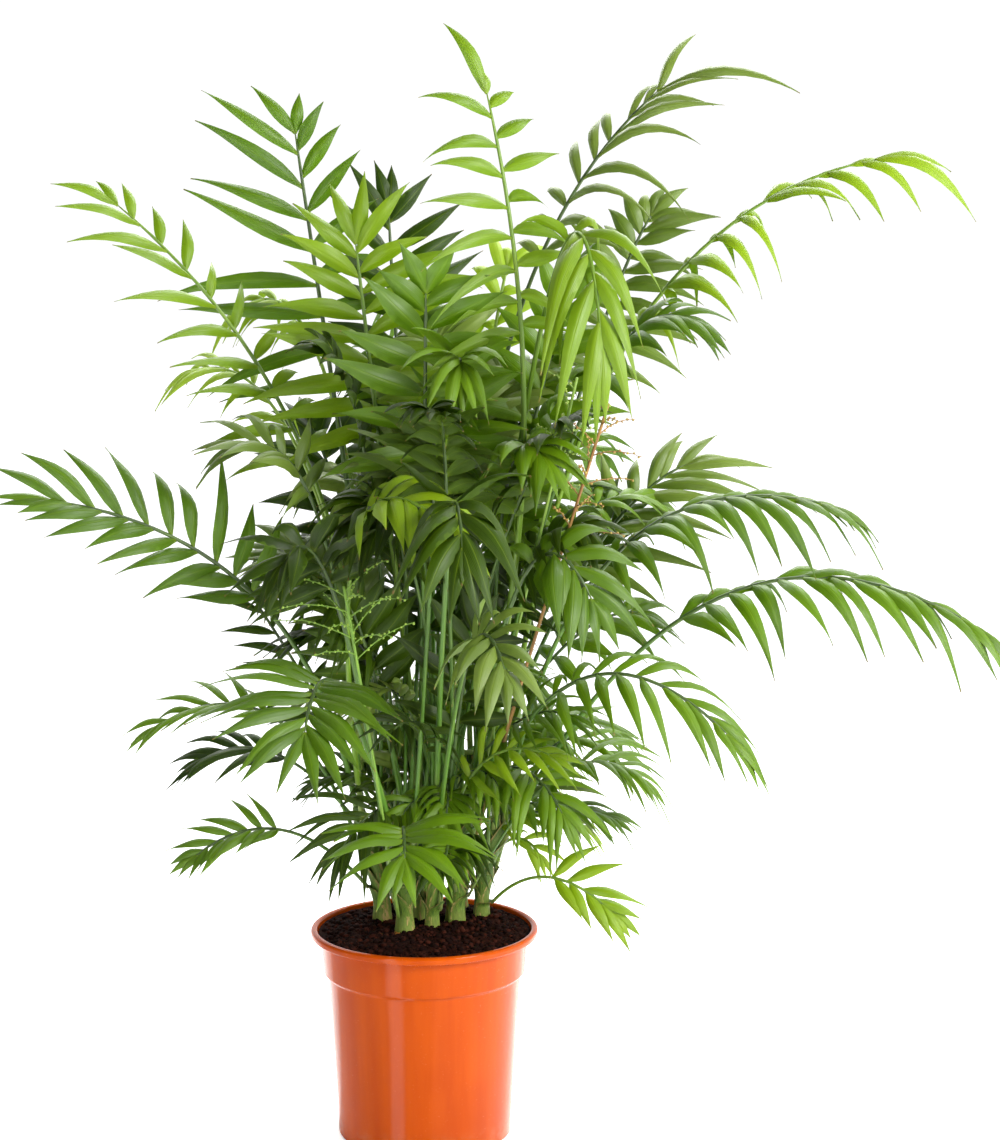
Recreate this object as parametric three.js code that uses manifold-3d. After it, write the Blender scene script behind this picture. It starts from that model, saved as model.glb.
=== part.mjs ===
// A parlour palm in its nursery pot, in millimetres, +Z up. The front is -Y.
// The origin is the centre of the pot's flat underside.
//
// The pot is one thin moulded shell, filled with soil. Nine short canes stand on the soil, each
// cut flat at ground level. Every frond is one node: a tapering three-sided rib that starts beside
// or on top of its cane and bends over once, with two rows of narrow leaflets fused to it.
// Three thin flower stalks stand between the fronds.
import * as THREE from "three";
import { mergeVertices } from "three/addons/utils/BufferGeometryUtils.js";
import Module from "manifold-3d";

const wasm = await Module();
wasm.setup();

// ---------------------------------------------------------------- driving dimensions
const GAP = 0.3; // clear space between pieces that touch on the real plant

const POT_HEIGHT = 220;
const LIP_RADIUS = 120;
const LIP_WIDTH = 7;
const LIP_HEIGHT = 8;
const COLLAR_RADIUS = 109.4; // just under the lip
const COLLAR_FOOT_RADIUS = 106.8;
const STEP_HEIGHT = 174; // where the collar steps in to the body
const BODY_TOP_RADIUS = 101.6;
const BODY_FOOT_RADIUS = 92;
const WALL = 2.2;
const FLOOR = 2.2;
const FOOT_HEIGHT = 4; // the underside is raised by this much between the rim and the centre pad
const FOOT_WIDTH = 8;
const PAD_RADIUS = 30;
const NOTCHES = 6; // drain cut-outs in the foot
const NOTCH_WIDTH = 30;
const POT_SIDES = 32;

const SOIL_EDGE = POT_HEIGHT - 4.4; // soil level against the lip
const SOIL_TOP = POT_HEIGHT - GAP; // soil level under the canes
const GROUND = SOIL_TOP + GAP; // where the canes are cut flat
const CROWN_RADIUS = 84; // the level part of the soil

const CANE_SIDES = 7;
const CANE_STEPS = 4;
const CANE_FLARE = 1.35; // foot radius over the radius a little higher up
const CANE_TOP = 0.62; // radius at the top over the radius low down

const TOP_ZONE = 10; // a rib that starts this close under a cane's top stands on the top
const SHEATH_GAP = 1; // between a cane and a rib beside it
const RIB_SIDES = 3;
const RIB_TIP_RADIUS = 1.5;
const MIN_RIB_STEPS = 5;
const RIB_STEP = 85; // about one rib section per this length
const RIB_TAPER = 0.8; // power of the distance from the tip that the radius follows
const LEAF_THICKNESS = 2;
const FIRST_PLACE = 0.3; // where the lowest pair stands, in pair spacings
const PAIR_OFFSET = 0.12; // how far apart the two leaflets of a pair stand, in pair spacings
const LAST_PAIR = 0.995; // share of the rib where the last pair stands
const LAST_SIZE = 0.56; // its size over the longest pair's, unless the frond says otherwise
const RAISE = 16; // how far leaflets stand up from the plane of the frond, in degrees
const ANGLE_FALL = 1.6; // power of the way up that the leaflets' angle follows
const WIDTH_KEPT = 0.5; // share of the width that even the smallest leaflet keeps
const SIZE_LEAST = 0.45; // a leaflet's size is this, and the rest times a sine of its way up
const SIZE_FROM = 0.3; // where that sine starts and how far it runs, in half turns
const SIZE_RUN = 0.62;
const DROOP_LOW = 1.25; // share of the droop at the lowest pair
const DROOP_FALL = 0.6; // and how much less it is at the tip
const LEAF_BEND = 0.5; // share of its reach where a leaflet starts to sink
const LEAF_SLACK = 0.45; // length that the sinking takes up, per unit of droop
const SIZE_SPREAD = 0.07; // how much leaflets differ by chance
const ANGLE_SPREAD = 4;
const RAISE_SPREAD = 7;
const DROOP_SPREAD = 0.25;
const LEAF_LIFTS = [0, 14, -14, 28, -28, 42]; // degrees of turn tried until a leaflet is clear
const LEAF_LENGTHS = [1, 0.75, 0.55]; // shares of its length tried after that
const LEAF_MARGIN = 1.2; // added to a leaflet's size while its place is tried
const LEAF_SIDES = 3;
const LEAF_STATIONS = [0, 0.42, 1]; // shares of a leaflet's length
const LEAF_WIDTHS = [0, 1, 0]; // the size of its section there
const BRANCHED_SHARE = 0.15; // share of a flower stalk that carries branches
const BRANCH_TURN = 2.4; // radians from one branch to the next
const BRANCH_WIDTH = 3;
const BRANCH_FORWARD = 0.75; // how far a branch leans along its stalk
const BRANCH_SPREAD = 0.2; // how much branches differ in length by chance
const BRANCH_DROOP = 0.3;
const ROOT_OVERLAP = 5; // volume that the roots of neighbouring leaflets share inside the rib
const UPWARD = new THREE.Vector3(0, 0, 1);
const SEED = 20417;
const FROND_SEED_STEP = 101;
const STALK_SEED = 7000;
const STALK_SEED_STEP = 37;

const POT_COLOUR = 0xe9601e;
const SOIL_COLOUR = 0x2b1d15;
const CANE_COLOUR = 0x8ba25a;

// ---------------------------------------------------------------- the plant's own plan
// A cane: where it stands, how far its top leans, its height and its radius low down.
const CANES = {
  left: { foot: [-46, 30], lean: [-24, 6], height: 120, radius: 11 },
  front_left: { foot: [-20, -14], lean: [-8, -14], height: 90, radius: 11 },
  front: { foot: [8, 2], lean: [4, -12], height: 105, radius: 8 },
  right: { foot: [32, 26], lean: [16, -4], height: 150, radius: 11.5 },
  far_right: { foot: [60, 46], lean: [26, 4], height: 130, radius: 9 },
  back_left: { foot: [-26, 64], lean: [-14, 12], height: 150, radius: 9.5 },
  back: { foot: [8, 62], lean: [0, 14], height: 170, radius: 9 },
  back_right: { foot: [36, 80], lean: [12, 16], height: 150, radius: 9 },
  middle: { foot: [-5, 32], lean: [-4, 2], height: 190, radius: 8.5 },
};

// Leaf tones, from the shaded heart of the clump to the youngest fronds.
const TONES = {
  deep: 0x2f5c1c,
  dusty: 0x5d8750,
  mid: 0x4a8420,
  bright: 0x69a626,
  lime: 0x93bf3a,
};

// A frond: its cane, how high on the cane it starts, its leaf tone, its rib's radius at the foot,
// the bare share of the rib and its pairs of leaflets. Then the point that the rib bends at, its
// tip, and the way its upper side looks. Then its leaflets: their length on the right-hand and on
// the left-hand side and their width; their angle to the rib at the lowest pair and near the tip;
// how far they droop; where the last pair stands out, its size and angle; and, where the
// left-hand leaflets lie forward along the rib, the share of the usual angle they keep.
const FRONDS = [
  {
    name: "tall_left", cane: "back_left", rise: 146, tone: "mid", rib: 3.4, bare: 0.56, pairs: 8,
    bend: [-95, 90, 760], tip: [-139, 120, 1056], face: [0, -1, 0.3],
    leaf: [112, 172, 22], spread: [80, 30], droop: 0.26, end: [0.6, 22],
  },
  {
    name: "upper_left", cane: "middle", rise: 186, tone: "bright", rib: 3.4, bare: 0.58, pairs: 7,
    bend: [-45, 30, 720], tip: [-70, 40, 936], face: [0.1, -1, 0.3],
    leaf: [150, 146, 32], spread: [78, 34], droop: 0.28,
  },
  {
    name: "left_arching", cane: "left", rise: 116, tone: "bright", rib: 3.2, bare: 0.5, pairs: 9,
    bend: [-45, 44, 745], tip: [-318, 40, 976], face: [0.5, -0.7, 0.6],
    leaf: [84, 140, 18], spread: [64, 28], droop: 0.3,
  },
  {
    name: "left_pale", cane: "back_left", rise: 100, tone: "lime", rib: 2.8, bare: 0.6, pairs: 6,
    bend: [-112, 92, 830], tip: [-240, 90, 804], face: [0.2, -0.4, 1],
    leaf: [88, 104, 14], spread: [56, 24], droop: 0.6,
  },
  {
    name: "left_long", cane: "left", rise: 80, tone: "mid", rib: 3.2, bare: 0.52, pairs: 9,
    bend: [-104, 0, 630], tip: [-372, -60, 676], face: [0, -0.8, 0.7],
    leaf: [128, 92, 21], spread: [70, 18], droop: 0.2, sweep: 0.62,
  },
  {
    name: "left_slender", cane: "back_left", rise: 72, tone: "deep", rib: 2.4, bare: 0.48, pairs: 6,
    bend: [-104, 96, 430], tip: [-192, 120, 556], face: [0.3, -0.8, 0.5],
    leaf: [64, 84, 13], spread: [60, 24], droop: 0.22,
  },
  {
    name: "left_low", cane: "left", rise: 62, tone: "mid", rib: 2.6, bare: 0.5, pairs: 6,
    bend: [-140, 30, 516], tip: [-284, 34, 428], face: [0.2, -0.3, 1],
    leaf: [74, 80, 15], spread: [48, 16], droop: 0.15,
  },
  {
    name: "left_fan", cane: "front_left", rise: 84, tone: "mid", rib: 3, bare: 0.7, pairs: 6,
    bend: [-92, -100, 596], tip: [-104, -230, 471], face: [0, -1, 0.8],
    leaf: [118, 116, 27], spread: [75, 25], droop: 0.12,
  },
  {
    name: "left_back_low", cane: "back_left", rise: 46, tone: "deep", rib: 2.2, bare: 0.52, pairs: 6,
    bend: [-150, 64, 440], tip: [-240, 74, 384], face: [0.2, -0.5, 1],
    leaf: [76, 80, 16], spread: [50, 20], droop: 0.2,
  },
  {
    name: "left_lowest", cane: "left", rise: 34, tone: "mid", rib: 2.2, bare: 0.5, pairs: 6,
    bend: [-149, 4, 367], tip: [-240, 0, 296], face: [0.1, -0.6, 0.8],
    leaf: [62, 52, 15], spread: [50, 16], droop: 0.1,
  },
  {
    name: "front_fan", cane: "front_left", rise: 50, tone: "mid", rib: 2.6, bare: 0.66, pairs: 6,
    bend: [-18, -90, 392], tip: [-13, -172, 336], face: [0, -0.75, 1],
    leaf: [98, 112, 24], spread: [82, 22], droop: 0.16,
  },
  {
    name: "tallest", cane: "right", rise: 146, tone: "bright", rib: 4.2, bare: 0.66, pairs: 8,
    bend: [150, -84, 720], tip: [66, -30, 1084], face: [0.3, -1, 0.4],
    leaf: [76, 142, 20], spread: [74, 46], droop: 0.5, end: [0.7, 10],
  },
  {
    name: "top_right", cane: "back_right", rise: 146, tone: "dusty", rib: 3.4, bare: 0.64, pairs: 8,
    bend: [25, 104, 905], tip: [250, 130, 1100], face: [-0.5, -0.6, 0.7],
    leaf: [176, 100, 17], spread: [58, 20], droop: 0.5, end: [1.3, 34],
  },
  {
    name: "right_arching", cane: "far_right", rise: 126, tone: "bright", rib: 3.4, bare: 0.54, pairs: 9,
    bend: [134, 36, 955], tip: [466, 20, 1020], face: [-0.3, -0.5, 1],
    leaf: [128, 96, 24], spread: [56, 12], droop: 0.8, end: [1, 8], sweep: 0.5,
  },
  {
    name: "right_back_upper", cane: "back_right", rise: 104, tone: "dusty", rib: 3, bare: 0.6, pairs: 8,
    bend: [165, 152, 835], tip: [246, 182, 970], face: [-0.2, -1, 0.4],
    leaf: [112, 98, 28], spread: [72, 30], droop: 0.35,
  },
  {
    name: "right_back_middle", cane: "back_right", rise: 74, tone: "dusty", rib: 2.8, bare: 0.52, pairs: 8,
    bend: [150, 110, 640], tip: [284, 130, 700], face: [-0.3, -0.9, 0.6],
    leaf: [150, 104, 19], spread: [60, 16], droop: 0.3,
  },
  {
    name: "right_middle", cane: "far_right", rise: 96, tone: "mid", rib: 3.2, bare: 0.46, pairs: 9,
    bend: [149, -8, 740], tip: [420, -40, 668], face: [-0.1, -0.3, 1],
    leaf: [124, 96, 29], spread: [58, 14], droop: 0.66, sweep: 0.5,
  },
  {
    name: "right_long", cane: "far_right", rise: 70, tone: "mid", rib: 3.4, bare: 0.42, pairs: 10,
    bend: [276, -30, 717], tip: [556, -90, 552], face: [-0.1, -0.4, 1],
    leaf: [116, 92, 27], spread: [58, 14], droop: 0.7, sweep: 0.45,
  },
  {
    name: "right_low_front", cane: "right", rise: 74, tone: "mid", rib: 3, bare: 0.4, pairs: 8,
    bend: [134, -92, 614], tip: [304, -140, 452], face: [0, -0.5, 1],
    leaf: [104, 112, 18], spread: [60, 14], droop: 0.45,
  },
  {
    name: "right_low", cane: "far_right", rise: 44, tone: "mid", rib: 2.4, bare: 0.42, pairs: 6,
    bend: [128, 64, 470], tip: [203, 44, 388], face: [-0.1, -0.3, 1],
    leaf: [72, 88, 14], spread: [56, 18], droop: 0.3,
  },
  {
    name: "right_lower", cane: "back_right", rise: 44, tone: "dusty", rib: 2.2, bare: 0.42, pairs: 5,
    bend: [104, 84, 400], tip: [154, 66, 336], face: [-0.1, -0.4, 1],
    leaf: [60, 76, 13], spread: [56, 20], droop: 0.25,
  },
  {
    name: "right_lowest", cane: "far_right", rise: 14, tone: "bright", rib: 2, bare: 0.52, pairs: 4,
    bend: [124, 4, 304], tip: [196, -14, 240], face: [-0.3, -0.7, 0.7],
    leaf: [62, 76, 16], spread: [44, 14], droop: 0.12,
  },
  {
    name: "right_sprig", cane: "back_right", rise: 20, tone: "lime", rib: 1.9, bare: 0.55, pairs: 3,
    bend: [92, 62, 330], tip: [122, 54, 284], face: [-0.2, -0.7, 0.8],
    leaf: [50, 56, 10], spread: [50, 20], droop: 0.3,
  },
  {
    name: "centre_left_front", cane: "left", rise: 92, tone: "bright", rib: 3, bare: 0.58, pairs: 6,
    bend: [-112, -110, 790], tip: [34, -172, 656], face: [0, -0.6, 1],
    leaf: [96, 96, 24], spread: [52, 14], droop: 0.5,
  },
  {
    name: "left_middle", cane: "left", rise: 108, tone: "dusty", rib: 2.8, bare: 0.58, pairs: 5,
    bend: [-80, -62, 765], tip: [-180, -56, 730], face: [0.2, -0.4, 1],
    leaf: [96, 108, 26], spread: [56, 18], droop: 0.35,
  },
  {
    name: "centre_front", cane: "front", rise: 100, tone: "deep", rib: 3, bare: 0.54, pairs: 5,
    bend: [31, -120, 801], tip: [45, -226, 645], face: [0, -1, 0.6],
    leaf: [116, 116, 34], spread: [58, 22], droop: 0.5,
  },
  {
    name: "right_front", cane: "right", rise: 100, tone: "mid", rib: 2.8, bare: 0.56, pairs: 5,
    bend: [96, -92, 742], tip: [170, -126, 584], face: [0.2, -0.8, 0.8],
    leaf: [92, 100, 30], spread: [66, 24], droop: 0.4,
  },
  {
    name: "right_upper_front", cane: "right", rise: 124, tone: "mid", rib: 3, bare: 0.58, pairs: 6,
    bend: [160, -40, 900], tip: [264, -60, 858], face: [-0.2, -0.4, 1],
    leaf: [92, 84, 26], spread: [52, 14], droop: 0.6, sweep: 0.7,
  },
  {
    name: "upper_back", cane: "back", rise: 166, tone: "deep", rib: 3, bare: 0.62, pairs: 5,
    bend: [-30, 104, 760], tip: [-40, 130, 974], face: [0.3, -1, 0.3],
    leaf: [108, 108, 30], spread: [70, 28], droop: 0.12,
  },
  {
    name: "upper_left_pale", cane: "back_left", rise: 138, tone: "lime", rib: 2.8, bare: 0.6, pairs: 6,
    bend: [-84, 112, 950], tip: [-200, 132, 868], face: [0, -0.5, 1],
    leaf: [80, 90, 17], spread: [50, 16], droop: 0.7,
  },
  {
    name: "back_pale", cane: "back", rise: 140, tone: "lime", rib: 3, bare: 0.46, pairs: 5,
    bend: [64, 126, 820], tip: [88, 172, 915], face: [0, -1, 0.5],
    leaf: [130, 130, 26], spread: [48, 18], droop: 1,
  },
  {
    name: "low_front", cane: "front", rise: 76, tone: "dusty", rib: 2.6, bare: 0.55, pairs: 5,
    bend: [49, -160, 644], tip: [84, -260, 536], face: [-0.1, -0.8, 0.7],
    leaf: [84, 88, 26], spread: [66, 24], droop: 0.4,
  },
  {
    name: "young_front", cane: "front", rise: 50, tone: "bright", rib: 2, bare: 0.4, pairs: 6,
    bend: [40, -46, 450], tip: [130, -80, 420], face: [0, -0.6, 0.8],
    leaf: [76, 72, 14], spread: [56, 20], droop: 0.3,
  },
  {
    name: "left_front", cane: "front_left", rise: 34, tone: "deep", rib: 2.8, bare: 0.55, pairs: 5,
    bend: [-84, -84, 700], tip: [-130, -126, 624], face: [-0.2, -0.8, 0.7],
    leaf: [100, 100, 32], spread: [64, 24], droop: 0.4,
  },
  {
    name: "right_back_low", cane: "back_right", rise: 56, tone: "deep", rib: 2.6, bare: 0.5, pairs: 5,
    bend: [104, 196, 540], tip: [206, 190, 632], face: [-0.3, -0.8, 0.6],
    leaf: [108, 104, 34], spread: [56, 20], droop: 0.25,
  },
  {
    name: "left_back", cane: "middle", rise: 160, tone: "deep", rib: 2.8, bare: 0.5, pairs: 5,
    bend: [-70, 120, 620], tip: [-128, 176, 736], face: [0.3, -0.8, 0.6],
    leaf: [114, 114, 38], spread: [60, 22], droop: 0.3,
  },
  {
    name: "upper_middle", cane: "middle", rise: 130, tone: "mid", rib: 3, bare: 0.44, pairs: 6,
    bend: [4, -34, 720], tip: [6, -62, 884], face: [0.1, -1, 0.3],
    leaf: [124, 124, 38], spread: [76, 34], droop: 0.3,
  },
  {
    name: "upper_right", cane: "back", rise: 112, tone: "mid", rib: 3, bare: 0.46, pairs: 6,
    bend: [104, 62, 700], tip: [150, 72, 890], face: [0, -1, 0.4],
    leaf: [118, 118, 36], spread: [74, 30], droop: 0.3,
  },
  {
    name: "low_left_inner", cane: "middle", rise: 70, tone: "deep", rib: 2.6, bare: 0.5, pairs: 5,
    bend: [-48, 10, 500], tip: [-74, -16, 560], face: [0.1, -1, 0.4],
    leaf: [96, 88, 32], spread: [58, 22], droop: 0.3,
  },
  {
    name: "low_right_inner", cane: "front", rise: 20, tone: "deep", rib: 2.6, bare: 0.48, pairs: 5,
    bend: [34, -20, 480], tip: [56, -40, 545], face: [-0.1, -1, 0.4],
    leaf: [92, 100, 32], spread: [58, 22], droop: 0.35,
  },
  {
    name: "right_hanging", cane: "back_right", rise: 126, tone: "bright", rib: 3, bare: 0.6, pairs: 6,
    bend: [150, -60, 1200], tip: [178, -140, 830], face: [0, -1, 0.6],
    leaf: [128, 120, 24], spread: [60, 16], droop: 0.9,
  },
  {
    name: "inner_back", cane: "back", rise: 156, tone: "deep", rib: 2.8, bare: 0.4, pairs: 6,
    bend: [0, 66, 560], tip: [14, 50, 700], face: [0, -1, 0.3],
    leaf: [108, 108, 40], spread: [60, 22], droop: 0.3,
  },
  {
    name: "rear_left", cane: "back_left", rise: 20, tone: "mid", rib: 2.8, bare: 0.46, pairs: 6,
    bend: [-105, 280, 634], tip: [-178, 400, 550], face: [0.1, 0.5, 1],
    leaf: [104, 104, 24], spread: [58, 18], droop: 0.5,
  },
  {
    name: "rear_right", cane: "back", rise: 84, tone: "mid", rib: 3, bare: 0.48, pairs: 6,
    bend: [111, 290, 798], tip: [200, 410, 694], face: [-0.1, 0.5, 1],
    leaf: [110, 110, 24], spread: [58, 18], droop: 0.5,
  },
  {
    name: "rear_low", cane: "back", rise: 50, tone: "mid", rib: 2.6, bare: 0.44, pairs: 6,
    bend: [18, 290, 551], tip: [32, 430, 414], face: [0, 0.6, 1],
    leaf: [96, 96, 22], spread: [58, 18], droop: 0.4,
  },
  {
    name: "rear_high", cane: "back", rise: 124, tone: "mid", rib: 3.2, bare: 0.58, pairs: 6,
    bend: [4, 260, 984], tip: [-24, 390, 868], face: [0, 0.6, 1],
    leaf: [116, 116, 24], spread: [58, 18], droop: 0.5,
  },
];

// A flower stalk: like a frond's rib, with thin branches near its end.
const FLOWER_STALKS = [
  {
    name: "flower_stalk_right", cane: "right", rise: 40, rib: 2.1, colour: 0xc07a3a,
    bend: [92, -74, 470], tip: [187, -92, 775], face: [0, -1, 0.5], branches: 8, reach: 62,
  },
  {
    name: "flower_stalk_middle", cane: "right", rise: 104, rib: 1.9, colour: 0x9db552,
    bend: [98, -30, 540], tip: [156, -84, 800], face: [0, -1, 0.5], branches: 6, reach: 56,
  },
  {
    name: "flower_stalk_left", cane: "front_left", rise: 16, rib: 1.9, colour: 0x9db552,
    bend: [-50, -76, 430], tip: [-74, -116, 596], face: [0, -1, 0.5], branches: 9, reach: 96,
  },
];

// ---------------------------------------------------------------- helpers
const vec = (list) => new THREE.Vector3(...list);
const turn = THREE.MathUtils.degToRad;

// The same small random number generator everywhere, so that each build is the same.
function seeded(seed) {
  let state = seed >>> 0;
  return () => {
    state = (state + 0x6d2b79f5) >>> 0;
    let t = state;
    t = Math.imul(t ^ (t >>> 15), t | 1);
    t ^= t + Math.imul(t ^ (t >>> 7), t | 61);
    return ((t ^ (t >>> 14)) >>> 0) / 4294967296;
  };
}

// A value that differs from the one given by chance, by no more than the spread.
function nearWith(random) {
  return (value, spread) => value + (random() - 0.5) * 2 * spread;
}

// A closed geometry as a solid that can be joined and cut.
function solidOf(geometry) {
  const bare = geometry.clone();
  bare.deleteAttribute("normal");
  bare.deleteAttribute("uv");
  const merged = mergeVertices(bare, 1e-4);
  return new wasm.Manifold(
    new wasm.Mesh({
      numProp: 3,
      vertProperties: new Float32Array(merged.attributes.position.array),
      triVerts: new Uint32Array(merged.index.array),
    }),
  );
}

function geometryOf(solid) {
  const mesh = solid.getMesh();
  const geometry = new THREE.BufferGeometry();
  geometry.setAttribute("position", new THREE.BufferAttribute(mesh.vertProperties, 3));
  geometry.setIndex(new THREE.BufferAttribute(mesh.triVerts, 1));
  geometry.computeVertexNormals();
  return geometry;
}

const plant = new THREE.Group();

function addNode(name, solid, material) {
  const mesh = new THREE.Mesh(geometryOf(solid), material);
  mesh.name = name;
  plant.add(mesh);
}

// The volume that two solids share.
function shared(a, b) {
  return touches(a, b) ? a.intersect(b).volume() : 0;
}

// Two solids share space. Their boxes are compared first, because most are far apart.
function touches(a, b) {
  const p = a.boundingBox();
  const q = b.boundingBox();
  const apart = [0, 1, 2].some((k) => p.min[k] > q.max[k] || q.min[k] > p.max[k]);
  return !apart && !a.intersect(b).isEmpty();
}

// ---------------------------------------------------------------- pot and soil
function lathe(profile) {
  const points = profile.map(([radius, height]) => new THREE.Vector2(radius, height));
  return solidOf(new THREE.LatheGeometry(points, POT_SIDES).rotateX(Math.PI / 2));
}

function makePot() {
  const shelf = POT_HEIGHT - LIP_HEIGHT + WALL;
  const footInner = BODY_FOOT_RADIUS - FOOT_WIDTH;
  const outside = [
    [0, 0],
    [PAD_RADIUS, 0],
    [PAD_RADIUS + 2, FOOT_HEIGHT],
    [footInner - 2, FOOT_HEIGHT],
    [footInner, 0],
    [BODY_FOOT_RADIUS, 0],
    [BODY_TOP_RADIUS, STEP_HEIGHT - 2],
    [COLLAR_FOOT_RADIUS, STEP_HEIGHT],
    [COLLAR_RADIUS, POT_HEIGHT - LIP_HEIGHT],
    [LIP_RADIUS - 1, POT_HEIGHT - LIP_HEIGHT],
    [LIP_RADIUS, POT_HEIGHT - LIP_HEIGHT / 2],
    [LIP_RADIUS - 2, POT_HEIGHT],
  ];
  const inside = [
    [LIP_RADIUS - LIP_WIDTH, POT_HEIGHT],
    [LIP_RADIUS - LIP_WIDTH, shelf],
    [COLLAR_RADIUS - WALL, shelf],
    [COLLAR_FOOT_RADIUS - WALL, STEP_HEIGHT + WALL],
    [BODY_TOP_RADIUS - WALL, STEP_HEIGHT - 2 + WALL],
    [BODY_FOOT_RADIUS - WALL, FOOT_HEIGHT + FLOOR],
    [0, FOOT_HEIGHT + FLOOR],
  ];
  let pot = lathe([...outside, ...inside]);
  for (let i = 0; i < NOTCHES; i++) {
    const cutter = new THREE.CylinderGeometry(1, 1, FOOT_WIDTH * 3, 8)
      .scale(NOTCH_WIDTH / 2, 1, FOOT_HEIGHT - 1)
      .translate(0, BODY_FOOT_RADIUS, 0)
      .rotateZ((i / NOTCHES) * 2 * Math.PI);
    pot = pot.subtract(solidOf(cutter));
  }
  return pot;
}

function makeSoil() {
  const shelf = POT_HEIGHT - LIP_HEIGHT + WALL + GAP;
  return lathe([
    [0, FOOT_HEIGHT + FLOOR + GAP],
    [BODY_FOOT_RADIUS - WALL - GAP, FOOT_HEIGHT + FLOOR + GAP],
    [BODY_TOP_RADIUS - WALL - GAP, STEP_HEIGHT - 2 + WALL + GAP],
    [COLLAR_FOOT_RADIUS - WALL - GAP, STEP_HEIGHT + WALL + GAP],
    [COLLAR_RADIUS - WALL - GAP, shelf],
    [LIP_RADIUS - LIP_WIDTH - GAP, shelf],
    [LIP_RADIUS - LIP_WIDTH - GAP, SOIL_EDGE],
    [CROWN_RADIUS, SOIL_TOP],
    [0, SOIL_TOP],
  ]);
}

// ---------------------------------------------------------------- canes
// A point on a cane's axis and its radius there, at a share of its height.
function canePoint(cane, share) {
  const bow = share * share;
  return new THREE.Vector3(
    cane.foot[0] + cane.lean[0] * bow,
    cane.foot[1] + cane.lean[1] * bow,
    GROUND + cane.height * share,
  );
}

function caneRadius(cane, share) {
  const flare = 1 + (CANE_FLARE - 1) * Math.max(0, 1 - share * 4) ** 2;
  return cane.radius * (1 - (1 - CANE_TOP) * share) * flare;
}

// Level sections, so that the foot is flat on the ground.
function makeCane(cane) {
  const geometry = new THREE.CylinderGeometry(1, 1, 1, CANE_SIDES, CANE_STEPS).rotateX(Math.PI / 2);
  const position = geometry.attributes.position;
  for (let i = 0; i < position.count; i++) {
    const share = position.getZ(i) + 0.5;
    const centre = canePoint(cane, share);
    const radius = caneRadius(cane, share);
    position.setXYZ(
      i,
      centre.x + position.getX(i) * radius,
      centre.y + position.getY(i) * radius,
      centre.z,
    );
  }
  return solidOf(geometry);
}

// ---------------------------------------------------------------- ribs
// A rib starts on its cane's flat top, or beside the cane on the side that it leans to. On the
// top, it stands as much higher as its tilted foot needs.
function ribStart(plan) {
  const cane = CANES[plan.cane];
  const share = Math.min(1, plan.rise / cane.height);
  const start = canePoint(cane, share);
  const rise = vec(plan.bend).sub(start).normalize();
  if (plan.rise > cane.height - TOP_ZONE) {
    const lift = GAP + plan.rib * Math.hypot(rise.x, rise.y);
    return canePoint(cane, 1).addScaledVector(UPWARD, lift);
  }
  const out = rise.setZ(0).normalize();
  return start.addScaledVector(out, caneRadius(cane, share) + plan.rib + SHEATH_GAP);
}

function ribCurve(plan) {
  return new THREE.QuadraticBezierCurve3(ribStart(plan), vec(plan.bend), vec(plan.tip));
}

function ribSteps(curve) {
  return Math.max(MIN_RIB_STEPS, Math.round(curve.getLength() / RIB_STEP));
}

// A point on the axis of a rib as it is built, straight between its sections.
function ribPoint(curve, share) {
  const steps = ribSteps(curve);
  const section = Math.min(steps - 1, Math.floor(share * steps));
  const from = curve.getPoint(section / steps);
  return from.lerp(curve.getPoint((section + 1) / steps), share * steps - section);
}

function ribRadius(plan, share) {
  return RIB_TIP_RADIUS + (plan.rib - RIB_TIP_RADIUS) * (1 - share) ** RIB_TAPER;
}

// Along, side and upper directions at a share of a rib.
function ribFrame(curve, face, share) {
  const along = curve.getTangent(share);
  const upper = face.clone().addScaledVector(along, -face.dot(along)).normalize();
  const side = along.clone().cross(upper);
  return { along, side, upper };
}

// A cylinder whose vertices are moved to follow a curve: x goes to side, y along, z to upper.
function follow(geometry, place) {
  const position = geometry.attributes.position;
  const point = new THREE.Vector3();
  for (let i = 0; i < position.count; i++) {
    point.fromBufferAttribute(position, i);
    const moved = place(point.x, point.y + 0.5, point.z);
    position.setXYZ(i, moved.x, moved.y, moved.z);
  }
  return solidOf(geometry);
}

function makeRib(plan) {
  const curve = ribCurve(plan);
  const face = vec(plan.face).normalize();
  const blank = new THREE.CylinderGeometry(1, 1, 1, RIB_SIDES, ribSteps(curve));
  return follow(blank, (x, share, z) => {
    const { side, upper } = ribFrame(curve, face, share);
    const radius = ribRadius(plan, share);
    return curve
      .getPoint(share)
      .addScaledVector(side, x * radius)
      .addScaledVector(upper, z * radius);
  });
}

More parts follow.
